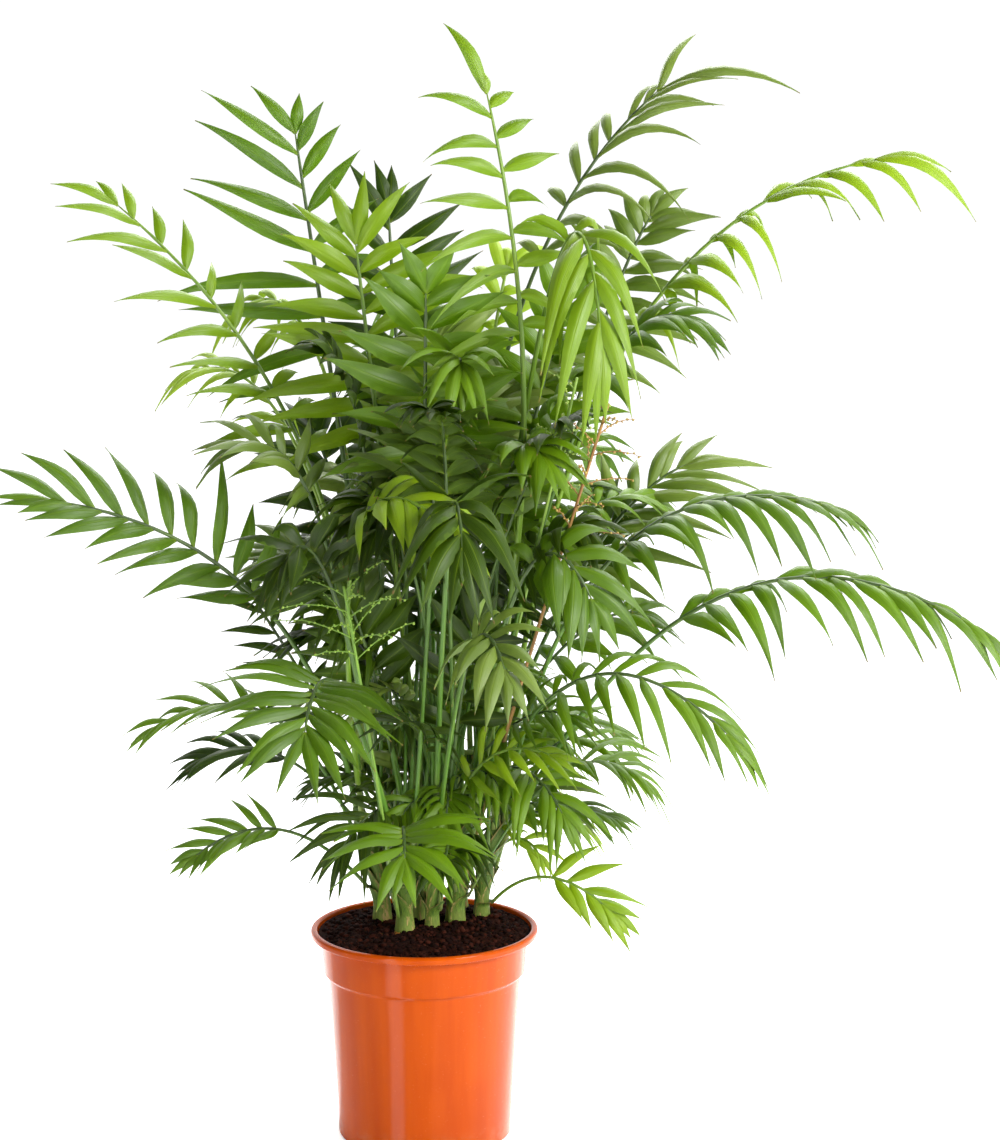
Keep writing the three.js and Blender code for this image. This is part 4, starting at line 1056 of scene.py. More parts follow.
def make_cane(name, cane, phase):
    bpy.ops.object.select_all(action="DESELECT")
    x, y, z = (cane_point(cane, 0) - UPWARD * BURIED) * MM
    radius = cane_radius(cane, 0)
    bpy.ops.mesh.primitive_circle_add(
        vertices=CANE_SIDES, radius=radius * MM, fill_type="NGON", location=(x, y, z)
    )
    piece = bpy.context.object
    piece.name = piece.data.name = "stem_" + name
    bpy.ops.object.transform_apply(location=True, rotation=False, scale=False)
    bpy.ops.object.mode_set(mode="EDIT")
    bpy.ops.mesh.select_all(action="SELECT")
    here = cane_point(cane, 0) - UPWARD * BURIED
    levels = list(np.arange(0, cane["height"] - 1, RING_STEP)) + [cane["height"]]
    for level in levels:
        share = level / cane["height"]
        centre = cane_point(cane, share)
        wanted = slim_radius(cane, share) + joint_swell(level, phase)
        if level == levels[-1]:
            wanted *= TOP_CHAMFER
        step = (centre - here) * MM
        bpy.ops.mesh.extrude_region_move(TRANSFORM_OT_translate={"value": tuple(step)})
        scale = wanted / radius
        bpy.ops.transform.resize(value=(scale, scale, 1), center_override=tuple(centre * MM))
        here, radius = centre, wanted
    bpy.ops.mesh.inset(thickness=radius * TOP_INSET * MM)
    bpy.ops.transform.translate(value=(0, 0, TOP_DOME * MM))
    bpy.ops.mesh.select_all(action="SELECT")
    bpy.ops.mesh.normals_make_consistent(inside=False)
    bpy.ops.object.mode_set(mode="OBJECT")
    smooth(piece, CANE_CREASE)
    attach(piece, "root")
    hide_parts("cane_" + name)
    return piece


canes = [make_cane(name, cane, CANE_PHASE * i) for i, (name, cane) in enumerate(CANES.items())]
print(len(canes), "canes with", sum(len(c.data.polygons) for c in canes), "faces")

# %% [markdown]
# A young cane is green with a pale waxy bloom and a few brown stains. Near the soil it is
# yellower, and right at its foot it turns tan and orange in patches. Fibres run up it.

# %% Green cane
CANE_DARK, CANE_LIGHT, BLOOM_COLOUR = 0x3C5A14, 0x6E8C2C, 0xA4B46C
CANE_YELLOW, CANE_TAN, STAIN_COLOUR = 0xA69A30, 0xB5701F, 0x5A4A22
YELLOW_HEIGHT, TAN_HEIGHT = 34, 12
net = Net("green_cane")
place = net.object_place()
height = net.parts(place)[2]
fibres = net.noise(net.drawn_out(place, (1, 1, 0.05)), 520, 4)
bloom = net.noise(place, 55, 4)
low = 1 - height.eased(GROUND * MM, (GROUND + YELLOW_HEIGHT) * MM)
foot = 1 - height.eased(GROUND * MM, (GROUND + TAN_HEIGHT) * MM)
cane_green = net.mix(fibres.eased(0.3, 0.7), colour(CANE_DARK), colour(CANE_LIGHT))
cane_green = net.mix(bloom.eased(0.5, 0.72) * 0.25, cane_green, colour(BLOOM_COLOUR))
cane_green = net.mix(low * 0.5, cane_green, colour(CANE_YELLOW))
cane_green = net.mix(foot * bloom.eased(0.35, 0.6), cane_green, colour(CANE_TAN))
stain = net.noise(place, 130, 5).eased(0.6, 0.72)
cane_green = net.mix(stain * 0.5, cane_green, colour(STAIN_COLOUR))
bump = net.height(fibres * 0.7 + bloom * 0.3, 0.0007, 0.8)
named = {"Base Color": cane_green, "Roughness": 0.48 + bloom * 0.2, "Normal": bump}
green_cane = net.finish(net.surface(**named))
for piece in canes:
    dress(piece, green_cane)

# %% [markdown]
# ## Sheaths
#
# A frond clasps its cane with a sheath: the stalk widens downwards into a thin shell that
# wraps the cane. The shell is drawn as a row of C-shaped rings, an arc out and the same arc
# back, wide at the bottom and as narrow as the stalk at the top.

# %% Sheaths
SHEATH_ROWS = 12
SHEATH_ARC = 9
SHEATH_LENGTH = 62
SHEATH_ABOVE = 16
SHEATH_WALL = 0.9
CLASP_ON_TOP, CLASP_BESIDE = math.radians(150), math.radians(104)
CLASP_GAP, CLASP_LOOSE = 1.3, 0.5
RIB_REACH = 900
SHEATH_CREASE = 60


def add_sheath(heap, plan, draw):
    """The sheath of one frond, from below the frond's start to a little above it."""
    cane = CANES[plan["cane"]]
    curve = rib_curve(plan)
    start = curve[0]
    top = min(plan["rise"], cane["height"])
    on_top = plan["rise"] > cane["height"] - TOP_ZONE
    length = min(SHEATH_LENGTH * (0.75 + 0.5 * draw()), top + BURIED - 1)
    lean = unit((vec(plan["bend"]) - start) * [1, 1, 0])
    facing = math.atan2(lean[1], lean[0])
    widest = CLASP_ON_TOP if on_top else CLASP_BESIDE
    rows = []
    for v in np.linspace(0, 1, SHEATH_ROWS):
        level = top - length + v * (length + SHEATH_ABOVE)
        share = max(0, min(1, level / cane["height"]))
        centre = cane_point(cane, share)
        stalk = curve_point(curve, max(0, level - top) / RIB_REACH)
        centre[2] = stalk[2] if level > top else GROUND + level
        hold = float(ease(0.35, 1, v))
        clasp = slim_radius(cane, share) + CLASP_GAP + CLASP_LOOSE * draw()
        if on_top:
            centre = centre * (1 - hold) + vec([stalk[0], stalk[1], centre[2]]) * hold
            away = plan["rib"] + 0.7
        else:
            away = math.hypot(*(stalk - centre)[:2]) + plan["rib"] + 0.5
        outer = clasp * (1 - hold) + away * hold
        narrow = math.pi * 0.8 if on_top else math.asin(min(1, (plan["rib"] + 0.8) / outer))
        half = widest * (1 - hold) + narrow * hold
        turns = facing + np.linspace(-half, half, SHEATH_ARC)
        wall = SHEATH_WALL * (0.5 + 0.5 * np.cos(np.linspace(-1.2, 1.2, SHEATH_ARC)))
        arc = np.stack([np.cos(turns), np.sin(turns), np.zeros(SHEATH_ARC)], -1)
        outside = centre + arc * outer
        inside = centre + arc * (outer - wall)[:, None]
        rows.append(np.concatenate([outside, inside[::-1]]))
    across = np.concatenate([np.linspace(0, 1, SHEATH_ARC), np.linspace(1, 0, SHEATH_ARC)])
    levels = np.arange(SHEATH_ROWS) / (SHEATH_ROWS - 1)
    heap.add_rings(np.concatenate(rows), across, np.roll(across, -1), levels, across)


sheath_heap = Heap()
draw = seeded(SEED + 9)
for plan in FRONDS + INNER:
    add_sheath(sheath_heap, plan, draw)
sheaths = sheath_heap.piece("leaf_sheaths")
smooth(sheaths, SHEATH_CREASE)
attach(sheaths, "root")
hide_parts(*["cane_" + name for name in CANES])

# %% [markdown]
# A sheath is paler than the stalk above it and ribbed along its length. Its thin edges dry to
# a papery tan.

# %% Dry-edged sheath
SHEATH_DARK, SHEATH_LIGHT, SHEATH_LOW, SHEATH_HIGH = 0x3C5A14, 0x76922E, 0x94983C, 0x3E5E1A
PAPERY_TAN, DRY_EDGE = 0xB89A5E, 0.13
net = Net("leaf_sheath")
across, along = net.map_place()
ribbing = net.noise(net.joined(across * 26, along * 3), 1.6, 3)
edge = 1 - across.eased(0.0, DRY_EDGE) + across.eased(1 - DRY_EDGE, 1.0)
worn = net.noise(net.joined(across * 5, along * 7), 1.3, 4)
sheath_green = net.mix(ribbing.eased(0.3, 0.7), colour(SHEATH_DARK), colour(SHEATH_LIGHT))
sheath_green = net.mix((1 - along.eased(0.0, 0.5)) * 0.35, sheath_green, colour(SHEATH_LOW))
sheath_green = net.mix(along.eased(0.5, 0.9) * 0.8, sheath_green, colour(SHEATH_HIGH))
sheath_green = net.mix(edge * worn.eased(0.35, 0.6), sheath_green, colour(PAPERY_TAN))
bump = net.height(ribbing, 0.0007, 0.9)
named = {"Base Color": sheath_green, "Roughness": 0.5 + worn * 0.25, "Normal": bump}
dress(sheaths, net.finish(net.surface(**named)))

# %% [markdown]
# ## Stalks and ribs
#
# The bare stalk of a frond and the rib between its leaflets are one long taper, so both are one
# tube along the rib's curve, a little flattened from above. Stalks of one colour are joined in
# one mesh. The map runs from 0 at the cane to 1 at the tip, which lets the colour change along
# the frond.

# %% Ribs
RIB_STEPS = 30
RIB_SIDES = 10
RIB_FLAT = 0.84
TIP_THINNING, TIP_FROM = 0.55, 0.94
RIB_KIN = {"deep": "dark", "dusty": "dark", "mid": "dark", "bright": "green", "lime": "pale"}
RIB_SLOTS = {"dark": "leaf_deep", "green": "leaf_bright", "pale": "leaf_lime"}


def rib_kin(plan):
    """The colour of a frond's stalk, which goes by its tone unless the plan names one."""
    return plan.get("stalk", RIB_KIN[plan["tone"]])


def along_rib(plan, steps):
    """Points along a rib, the ways to its side and upper side there, and its radii."""
    curve, face = rib_curve(plan), unit(vec(plan["face"]))
    shares = np.linspace(0, 1, steps)
    frames = [rib_frame(curve, face, share) for share in shares]
    sides, uppers = np.array([f[1] for f in frames]), np.array([f[2] for f in frames])
    radii = np.array([rib_radius(plan, share) for share in shares])
    return curve_point(curve, shares), sides, uppers, radii


def add_rib(heap, plan):
    centres, sides, uppers, radii = along_rib(plan, RIB_STEPS)
    radii *= 1 - TIP_THINNING * ease(TIP_FROM, 1, np.linspace(0, 1, RIB_STEPS))
    add_tube(heap, centres, sides, uppers * RIB_FLAT, radii, RIB_SIDES)


rib_heaps = {kin: Heap() for kin in RIB_SLOTS}
rib_nodes = {kin: [] for kin in RIB_SLOTS}
for plan in FRONDS:
    add_rib(rib_heaps[rib_kin(plan)], plan)
    rib_nodes[rib_kin(plan)].append("frond_" + plan["name"])
for plan in INNER:
    add_rib(rib_heaps["dark"], plan)
rib_pieces = {}
for kin, heap in rib_heaps.items():
    piece = heap.piece("ribs_" + kin)
    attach(piece, "root")
    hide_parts(*rib_nodes[kin])
    rib_pieces[kin] = piece

# %% [markdown]
# Low down a stalk is green and smooth. Further up it darkens on most fronds, to a dull
# grey-green that looks almost black against the light. On young fronds it stays yellow-green.

# %% Stalk greens
STALK_GREENS = {
    "dark": (0x4F7A1C, 0x3A4F22, 0x7C9A3C),
    "green": (0x688C1E, 0x5C7C1E, 0x9AB43A),
    "pale": (0x7FA036, 0x86A63A, 0xB2C56A),
}
STALK_FOOT, STALK_SPECK = 0xA9B36A, 0x3A2E18
for kin, (low_green, high_green, streak) in STALK_GREENS.items():
    net = Net("stalk_" + kin)
    across, along = net.map_place()
    grain = net.noise(net.joined(across * 7, along * 9), 1.4, 4)
    speck = net.noise(net.joined(across * 9, along * 60), 1.8, 2)
    green = net.mix(along.eased(0.12, 0.6), colour(low_green), colour(high_green))
    green = net.mix(grain.eased(0.45, 0.75) * 0.55, green, colour(streak))
    green = net.mix((1 - along.eased(0.0, 0.09)) * 0.6, green, colour(STALK_FOOT))
    green = net.mix(speck.eased(0.68, 0.76) * 0.35, green, colour(STALK_SPECK))
    bump = net.height(grain + speck * 0.3, 0.0004, 0.7)
    named = {"Base Color": green, "Roughness": 0.36 + grain * 0.16, "Normal": bump}
    dress(rib_pieces[kin], net.finish(net.surface(**named)))
    print("stalks,", kin, len(net.tree.nodes), "nodes")

# %% [markdown]
# ## Leaflets
#
# A leaflet is a narrow blade with a roof-like fold along its middle, two soft pleats, a narrow
# foot and a long drawn-out tip that hooks down. It could be a flat card with a picture on it,
# but a card shines all at once, while a folded blade catches light on one half only. So every
# leaflet is a thin closed shell of 82 faces, laid along its own curve. No two are alike:
# each has its own droop, twist and edge wave from the rule.
#
# The map of a leaflet has twelve columns. Six are shades of the upper side and six are the same
# shades of the underside, and a leaflet takes one of each. Across a column the map runs from
# edge to edge, and along it from foot to tip. That is all a material needs to draw veins.

# %% A leaflet
STATIONS = np.array([0, 0.05, 0.13, 0.24, 0.37, 0.5, 0.63, 0.75, 0.86, 0.94, 1.0])
TOP_SPOTS = np.array([-1, -0.5, 0, 0.5, 1])
RING_SPOTS = np.concatenate([TOP_SPOTS, [0.5, 0, -0.5]])
RING_UNDER = np.array([0, 0, 0, 0, 0, 1, 1, 1])
FACE_UNDER = np.array([0, 0, 0, 0, 1, 1, 1, 1])
BLADE = 0.45
BLADE_PEAK = 0.72
FOOT_HALF = 1.5
TIP_HALF = 0.35
FOLD_FOOT, FOLD_TIP = math.radians(34), math.radians(12)
PLEAT = 0.5
SHORTENING = 0.45
ARCH, ARCH_SHARE = 0.14, 0.3
WAVES, WAVE_DEPTH = 8, 0.035
COLUMNS = SHADES * 2
LANE_HALF = 0.47
MAP_FOOT, MAP_LENGTH = 0.01, 0.98
LEAFLET_CREASE = 80


def blade_half(t, width):
    """Half the width of the blade along its length."""
    drawn = np.sin(np.pi * t**BLADE_PEAK) * (1 - 0.3 * t**2)
    return np.maximum(drawn * width / 2, FOOT_HALF * (1 - t) ** 6 + TIP_HALF)


def add_leaflet(heap, leaf, shade):
    """One leaflet, as rings of eight points across its curve."""
    reach = leaf["length"] / (1 + SHORTENING * leaf["droop"])
    out = leaf["heading"]
    curve = (leaf["root"], leaf["root"] + out * reach * 0.5,
             leaf["root"] + out * reach - UPWARD * leaf["droop"] * reach)
    t = STATIONS
    spine, onward = curve_point(curve, t), curve_heading(curve, t)
    across = unit(np.cross(out, leaf["upper"]))
    top = np.cross(across, onward)
    arched, hooked = np.sin(np.pi * t)[:, None], ease(0.35, 1.1, t)[:, None]
    shift = top * (ARCH_SHARE * arched - leaf["hook"] * hooked)
    shift = shift + leaf["along"] * ARCH_SHARE * hooked
    spine = spine + shift * leaf["length"] * ARCH
    twist = (leaf["twist"] * t)[:, None]
    side = across * np.cos(twist) + top * np.sin(twist)
    top = top * np.cos(twist) - across * np.sin(twist)
    half = blade_half(t, leaf["width"])[:, None]
    fold = np.tan(FOLD_FOOT + (FOLD_TIP - FOLD_FOOT) * t)[:, None]
    spots = RING_SPOTS[None, :]
    wave = np.sin(leaf["wave"] + t * WAVES)[:, None] * spots * np.abs(spots)
    wave = wave * leaf["width"] * WAVE_DEPTH
    pleat = (np.abs(spots) == 0.5) * PLEAT * np.minimum(1, half / 6)
    skin = (1 - np.abs(spots)) ** 0.5 * BLADE * np.where(RING_UNDER[None, :], -1, 1)
    lift = wave - np.abs(spots) * half * fold + pleat + skin
    span = spots * half * np.cos(np.arctan(fold))
    points = spine[:, None] + side[:, None] * span[..., None] + top[:, None] * lift[..., None]
    lane = (shade + SHADES * FACE_UNDER + 0.5) / COLUMNS
    starts = lane + RING_SPOTS * LANE_HALF / COLUMNS
    stops = lane + np.roll(RING_SPOTS, -1) * LANE_HALF / COLUMNS
    caps = (shade + 0.5) / COLUMNS + RING_SPOTS * LANE_HALF / COLUMNS
    heap.add_rings(points.reshape(-1, 3), starts, stops, MAP_FOOT + MAP_LENGTH * t, caps)


# %% All the leaflets
TONES = ("deep", "dusty", "mid", "bright", "lime")
leaf_heaps = {tone: Heap() for tone in TONES}
leaf_nodes = {tone: [] for tone in TONES}
leaf_count = 0
for index, plan in enumerate(FRONDS + INNER):
    own = seeded(SEED * 3 + index)() * (SHADES - 1)
    for leaf in leaflet_plans(plan, index):
        shade = int(np.clip(round(own + leaf["shade"] * 1.2), 0, SHADES - 1))
        add_leaflet(leaf_heaps[plan["tone"]], leaf, shade)
        leaf_count += 1
    if index < len(FRONDS):
        leaf_nodes[plan["tone"]].append("frond_" + plan["name"])
print(leaf_count, "leaflets")

leaf_pieces = {}
for tone, heap in leaf_heaps.items():
    piece = heap.piece("leaflets_" + tone)
    smooth(piece, LEAFLET_CREASE)
    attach(piece, "root")
    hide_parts(*leaf_nodes[tone])
    leaf_pieces[tone] = piece

# %% [markdown]
# Leaf green is never one colour. The blade has fine veins along it, a paler midrib, cloudy
# patches, a yellow foot and often a dry brown tip, and its underside is duller and paler. It is
# thin enough for light to come through, and a leaf lit from behind glows yellow-green. That part
# is a second shader under the first, mixed in at one third all over.

# %% Leaf greens
LEAF_GREENS = {
    # The deepest green paints in shade: it goes to fronds that stand in shade, low, inside or behind the
    # crown.
    "deep": (0x182602, 0x446004, 0x5E8206),
    # This paler grey-green paints in the sheen that lit leaves show.
    "dusty": (0x506A1E, 0x8EA444, 0x94AE2C),
    "mid": (0x3E5D04, 0x759B08, 0x98BC0A),
    "bright": (0x5D7F08, 0x95B314, 0xB0CE18),
    "lime": (0x88A41E, 0xB8D640, 0xCEE636),
}
LEAF_GLOSS = {"deep": 0.34, "dusty": 0.66, "mid": 0.54, "bright": 0.56, "lime": 0.56}
GLOW_SHARE = 0.34
MIDRIB_PALE, FOOT_YELLOW, MARGIN_PALE = 0x98B61A, 0xA0B826, 0x93AC16
UNDERSIDE, DRY_TIP = 0x6A8E14, 0x8A6A3A
for tone, (dark, light, glow) in LEAF_GREENS.items():
    net = Net("leaf_" + tone)
    across, along = net.map_place()
    lanes = across * COLUMNS
    lane = lanes.floor()
    spot = (lanes - lane - 0.5) * (1 / LANE_HALF)
    off_middle = abs(spot)
    under = net.node("ShaderNodeMath", {"operation": "GREATER_THAN"}, lane, SHADES - 0.5)
    shade = (lane - under * SHADES) * (1 / (SHADES - 1))
    streak = net.noise(net.joined(lanes * 9, along * 2.2), 1.5, 4)
    patch = net.noise(net.joined(lanes * 1.6, along * 5), 1.3, 3)
    veins = (spot * 46 + streak * 3).sine() * 0.5 + 0.5
    midrib = 1 - off_middle.eased(0.01, 0.07)
    pleats = 1 - abs(off_middle - 0.5).eased(0.0, 0.06)
    foot = 1 - along.eased(0.0, 0.1)
    margin = off_middle.eased(0.9, 1.0)
    dry = (along + patch * 0.03).eased(0.972, 0.995)
    green = net.mix(shade * 0.7 + patch * 0.3, colour(dark), colour(light))
    green = net.mix(veins * streak.eased(0.3, 0.7) * 0.25, green, colour(light))
    green = net.mix(pleats * 0.25, green, colour(dark))
    green = net.mix(midrib * 0.3, green, colour(MIDRIB_PALE))
    green = net.mix(foot * 0.5, green, colour(FOOT_YELLOW))
    green = net.mix(margin * 0.2, green, colour(MARGIN_PALE))
    green = net.mix(under * 0.35, green, colour(UNDERSIDE))
    green = net.mix(dry * 0.85, green, colour(DRY_TIP))
    relief = veins * 0.35 - midrib * 0.8 * (1 - under * 2) + patch * 0.5 - pleats * 0.4
    bump = net.height(relief, 0.0004, 0.6)
    rough = 0.35 + streak * 0.12 + under * 0.12 + dry * 0.2
    named = {"Base Color": green, "Roughness": rough, "Normal": bump}
    named["Specular IOR Level"] = LEAF_GLOSS[tone]
    thin = net.node("ShaderNodeBsdfTranslucent", None, Color=colour(glow), Normal=bump)
    both = net.node("ShaderNodeMixShader", None, GLOW_SHARE, net.surface(**named), thin)
    dress(leaf_pieces[tone], net.finish(both))
    print("leaf,", tone, len(net.tree.nodes), "nodes")

# %% [markdown]
# ## Flower stalks
#
# The palm flowers on thin stalks that start low on a cane. The long one on the right is ripe
# and orange-brown, the other two are still pale green. Each carries wiry branches set with tiny
# round buds. A bud is the same grain shape as a crumb of soil, only smoother.

# %% Flower stalks and twigs
STALK_SEED, STALK_SEED_STEP = 7000, 37
BRANCHED_SHARE, BRANCH_TURN = 0.15, 2.4
BRANCH_FORWARD, BRANCH_SPREAD, BRANCH_DROOP = 0.75, 0.2, 0.3
STALK_STEPS, STALK_SIDES, STALK_SLIM = 34, 8, 0.95
TWIG_STEPS, TWIG_SIDES = 14, 5
STALK_BAND, TWIG_BAND = (0, 0.6), (0.6, 1)
TWIG_RADIUS = 0.75
BUD_RADIUS = 1.25
BUDS_PER_TWIG = 9
TWIG_WAVER = 1.1
MORE_BRANCHES = 1.6
TWIG_FOOT, TWIG_STAIN = 0x7F9A3E, 0x6B4A22


def add_twig(heap, buds, root, out, upper, length, draw):
    """A wiry branch that wavers, with buds set alternately along it."""
    near = near_with(draw)
    reach = length / (1 + SHORTENING * BRANCH_DROOP)
    curve = (root, root + out * reach * 0.5, root + out * reach - UPWARD * BRANCH_DROOP * reach)
    t = np.linspace(0, 1, TWIG_STEPS)
    across = unit(np.cross(out, upper))
    steps = [[near(0, TWIG_WAVER), near(0, TWIG_WAVER)] for _ in t]
    waver = np.cumsum(steps, axis=0) * t[:, None]
    spine, onward = curve_point(curve, t), curve_heading(curve, t)
    tops = np.cross(across, onward)
    spine = spine + across * waver[:, :1] + tops * waver[:, 1:]
    radii = TWIG_RADIUS * (1 - 0.5 * t)
    add_tube(heap, spine, np.tile(across, (TWIG_STEPS, 1)), tops, radii, TWIG_SIDES, TWIG_BAND)
    for number in range(BUDS_PER_TWIG):
        at = 1.5 + (TWIG_STEPS - 2.6) * (number + near(0.5, 0.3)) / BUDS_PER_TWIG
        low, part = int(at), at - int(at)
        centre = spine[low] * (1 - part) + spine[low + 1] * part
        turn = number * BRANCH_TURN
        centre = centre + (across * math.cos(turn) + tops[low] * math.sin(turn)) * BUD_RADIUS
        add_grain(buds, centre, BUD_RADIUS * near(1, 0.25), 1.0, draw, number % SHADES)


FLOWER_TONES = {
    "flower_stalk_right": ("stalk_orange", 0xA07A3A, 0x7A5226, 0xB4A04A),
    "flower_stalk_middle": ("stalk_green", 0x8FAE4A, 0x6F9236, 0xB9C65A),
    "flower_stalk_left": ("stalk_green", 0x86AE3E, 0x668C2E, 0xA8C24E),
}
for index, plan in enumerate(FLOWER_STALKS):
    slot, light, dark, bud = FLOWER_TONES[plan["name"]]
    curve, face = rib_curve(plan), unit(vec(plan["face"]))
    stem, buds = Heap(), Heap()
    centres, sides, uppers, radii = along_rib(plan, STALK_STEPS)
    add_tube(stem, centres, sides, uppers, radii * STALK_SLIM, STALK_SIDES, STALK_BAND)
    draw = seeded(SEED + STALK_SEED + index * STALK_SEED_STEP)
    near = near_with(draw)
    branches = round(plan["branches"] * MORE_BRANCHES)
    for i in range(branches):
        share = 1 - BRANCHED_SHARE * 1.5 * (1 - i / branches)
        along, side, upper = rib_frame(curve, face, min(share, 0.999))
        turn = BRANCH_TURN * i
        spread = side * math.cos(turn) + upper * math.sin(turn)
        out = unit(along * BRANCH_FORWARD + spread)
        length = plan["reach"] * near(0.96, BRANCH_SPREAD)
        add_twig(stem, buds, curve_point(curve, share), out, upper + 0.01 * side, length, draw)
    for heap, name, kind in ((stem, plan["name"], "twig"), (buds, plan["name"] + "_buds", "bud")):
        piece = heap.piece(name + "_wire" if kind == "twig" else name)
        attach(piece, "root")
        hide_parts(plan["name"])
        net = Net(name)
        across, up = net.map_place()
        spot = net.joined(across * 6, up * 14)
        grain = net.noise(spot, 1.5, 3)
        ripe = net.noise(spot, 0.5, 2)
        if kind == "twig":
            tint = net.mix(grain.eased(0.35, 0.65), colour(dark), colour(light))
            tint = net.mix((1 - up.eased(0.0, 0.3)) * 0.5, tint, colour(TWIG_FOOT))
        else:
            tint = net.mix(across, colour(bud), colour(light))
            tint = net.mix(grain.eased(0.4, 0.7) * 0.4, tint, colour(dark))
        tint = net.mix(ripe.eased(0.6, 0.75) * 0.3, tint, colour(TWIG_STAIN))
        bump = net.height(grain, 0.0003, 0.6)
        named = {"Base Color": tint, "Roughness": 0.5 + grain * 0.15, "Normal": bump}
        dress(piece, net.finish(net.surface(**named)))

# %% [markdown]
# ## Floor, lights and camera
#
# The plant stands in a white studio, so the floor and the world are both white and meet without
# a line. The world is bright behind the plant and to its right and much dimmer in front, as it
# is where a lit white sheet hangs behind a thing: the outer leaves glow and the inner ones stay
# dark. The camera sees it as plain white from every side. Three soft boxes shape the leaves and
# show in the gloss of the pot: a broad one in front on the right, a narrow upright one on the
# left, and one above and behind that shines through the top leaves. They are hidden from the
# camera, because other views look past them.
#
# The pot leans outwards, so it mirrors the floor near it more than the boxes. In a studio,
# white cards would lie there. Here the floor itself is lit in four wedges round the pot, which
# only mirror rays see, and they draw the upright bands of gloss on the plastic.

# %% Floor
FLOOR_LIFT = 0.5
# Each panel: left edge, right edge and softness in degrees round the pot, then strength.
LIT_PANELS = [(-42, -25, 3.5, 5.0), (12, 62, 1.5, 0.8), (62, 150, 1.5, 1.5), (-150, -124, 4, 1.4)]
PANEL_CENTRE = 0.05
FLOOR_SIZE = 60
bpy.ops.object.select_all(action="DESELECT")
bpy.ops.mesh.primitive_plane_add(size=FLOOR_SIZE)
floor = bpy.context.object
floor.name = "studio_floor"
floor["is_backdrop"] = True
net = Net("white_floor")
grain = net.noise(net.object_place(), 3, 2)
white = net.mix(grain, (0.93, 0.93, 0.93), (0.95, 0.95, 0.95))
seen = net.node("ShaderNodeLightPath")
lift = net.mix(seen, (0, 0, 0), (FLOOR_LIFT, FLOOR_LIFT, FLOOR_LIFT))
to_right, to_back, _ = net.parts(net.object_place())
around = to_right.maths("ARCTAN2", to_right, to_back * -1 - PANEL_CENTRE)
panels = 0
for left_edge, right_edge, soft, strength in LIT_PANELS:
    start, stop, blur = math.radians(left_edge), math.radians(right_edge), math.radians(soft)
    panel = around.eased(start - blur, start + blur) - around.eased(stop - blur, stop + blur)
    panels = panel * strength + panels
mirrored = net.node("ShaderNodeLightPath", output="Is Glossy Ray")
lift = net.mix(mirrored, lift, net.joined(panels, panels, panels))
named = {"Base Color": white, "Roughness": 0.9, "Emission Color": lift, "Emission Strength": 1.0}
dress(floor, net.finish(net.surface(**named)))

# %% White world
FRONT_LIGHT, BACK_LIGHT, WORLD_SEEN = 0.09, 1.6, 1.05
BACK_SIDE = (0.45, 0.88, 0.15)
world = bpy.data.worlds.new("white_studio")
world.use_nodes = True
tree = world.node_tree
background = tree.nodes["Background"]
background.inputs["Color"].default_value = (1, 1, 1, 1)
direction = tree.nodes.new("ShaderNodeTexCoord")
facing = tree.nodes.new("ShaderNodeVectorMath")
facing.operation = "DOT_PRODUCT"
facing.inputs[1].default_value = BACK_SIDE
behind = tree.nodes.new("ShaderNodeMapRange")
behind.interpolation_type = "SMOOTHSTEP"
seen = tree.nodes.new("ShaderNodeLightPath")
choose = tree.nodes.new("ShaderNodeMix")
ends = {"From Min": -0.2, "From Max": 0.6, "To Min": FRONT_LIGHT, "To Max": BACK_LIGHT}
for socket, value in ends.items():
    behind.inputs[socket].default_value = value
choose.inputs["B"].default_value = WORLD_SEEN
tree.links.new(direction.outputs["Generated"], facing.inputs[0])
tree.links.new(facing.outputs["Value"], behind.inputs["Value"])
tree.links.new(seen.outputs["Is Camera Ray"], choose.inputs["Factor"])
tree.links.new(behind.outputs[0], choose.inputs["A"])
tree.links.new(choose.outputs[0], background.inputs["Strength"])
bpy.context.scene.world = world

# %% Soft boxes
AIM = vec([0, 0, 0.55])


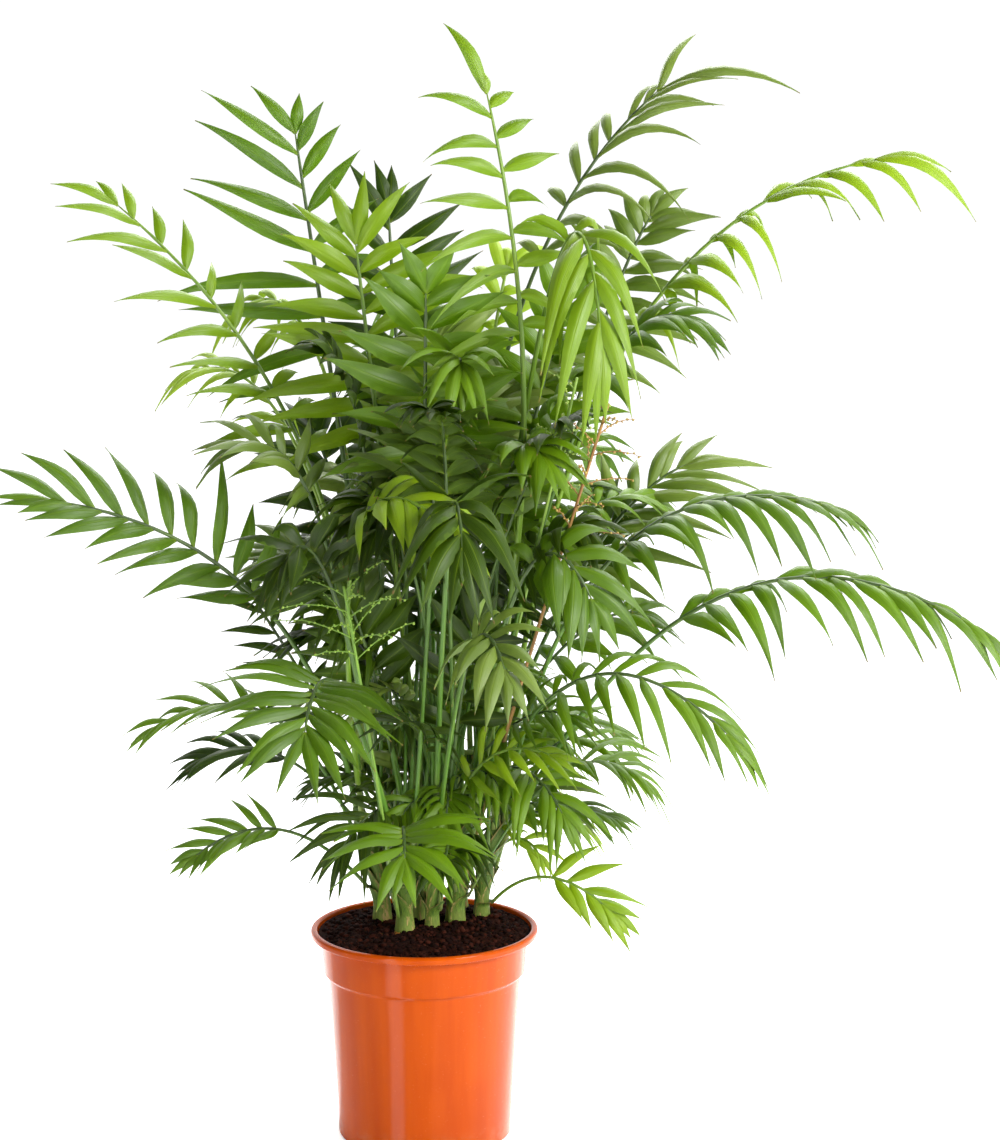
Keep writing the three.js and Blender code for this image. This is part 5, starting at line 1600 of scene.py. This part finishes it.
def soft_box(name, azimuth, distance, height, width, tall, brightness, aim=AIM):
    """A rectangular light. Azimuth is from the front, growing to the right."""
    turn = math.radians(azimuth)
    place = vec([math.sin(turn) * distance, -math.cos(turn) * distance, height])
    light = bpy.data.lights.new(name, "AREA")
    light.shape, light.size, light.size_y = "RECTANGLE", width, tall
    light.energy = brightness * math.pi * width * tall
    lamp = bpy.data.objects.new(name, light)
    bpy.context.scene.collection.objects.link(lamp)
    towards = vec(aim) - place
    pitch = math.atan2(math.hypot(towards[0], towards[1]), -towards[2])
    lamp.rotation_euler = (pitch, 0, math.atan2(-towards[0], towards[1]))
    lamp.location = place
    lamp.visible_camera = False
    return lamp


soft_box("key_box", azimuth=50, distance=2.5, height=1.6, width=1.3, tall=1.1, brightness=23.0)
soft_box("strip_box", azimuth=-31, distance=2.2, height=0.9, width=0.34, tall=1.7, brightness=8.0)
soft_box("top_box", azimuth=170, distance=1.5, height=2.2, width=2.4, tall=1.6, brightness=7.0,
         aim=(0, 0, 0.7))

# %% Camera
CAMERA_PLACE = (0.0798, -2.265, 0.867)
CAMERA_TILT = math.radians(83.24)
LENS_MM, SENSOR_MM = 69.47, 36
camera_data = bpy.data.cameras.new("camera")
camera_data.lens, camera_data.sensor_width = LENS_MM, SENSOR_MM
camera = bpy.data.objects.new("camera", camera_data)
camera.location = CAMERA_PLACE
camera.rotation_euler = (CAMERA_TILT, 0, 0)
bpy.context.scene.collection.objects.link(camera)
bpy.context.scene.camera = camera
bpy.context.scene.view_settings.view_transform = "Standard"
print("camera is", round(math.dist(CAMERA_PLACE, (0, 0, 0.5)), 2), "m from the plant")

# %% [markdown]
# ## Checks on size
# The dressed plant should keep the size of its solids, so both boxes are printed side by side. It may
# stand past their box by three per cent
# of a side and ten millimetres at most, so both boxes are written down.

# %% Sizes and finish
bpy.context.view_layer.update()
scene_box = [list(corner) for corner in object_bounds()]
for name, low, high, old_low, old_high in zip("xyz", *scene_box, *cad_box):
    print(f"{name}: {low:.3f} to {high:.3f} m, solids {old_low:.3f} to {old_high:.3f} m")
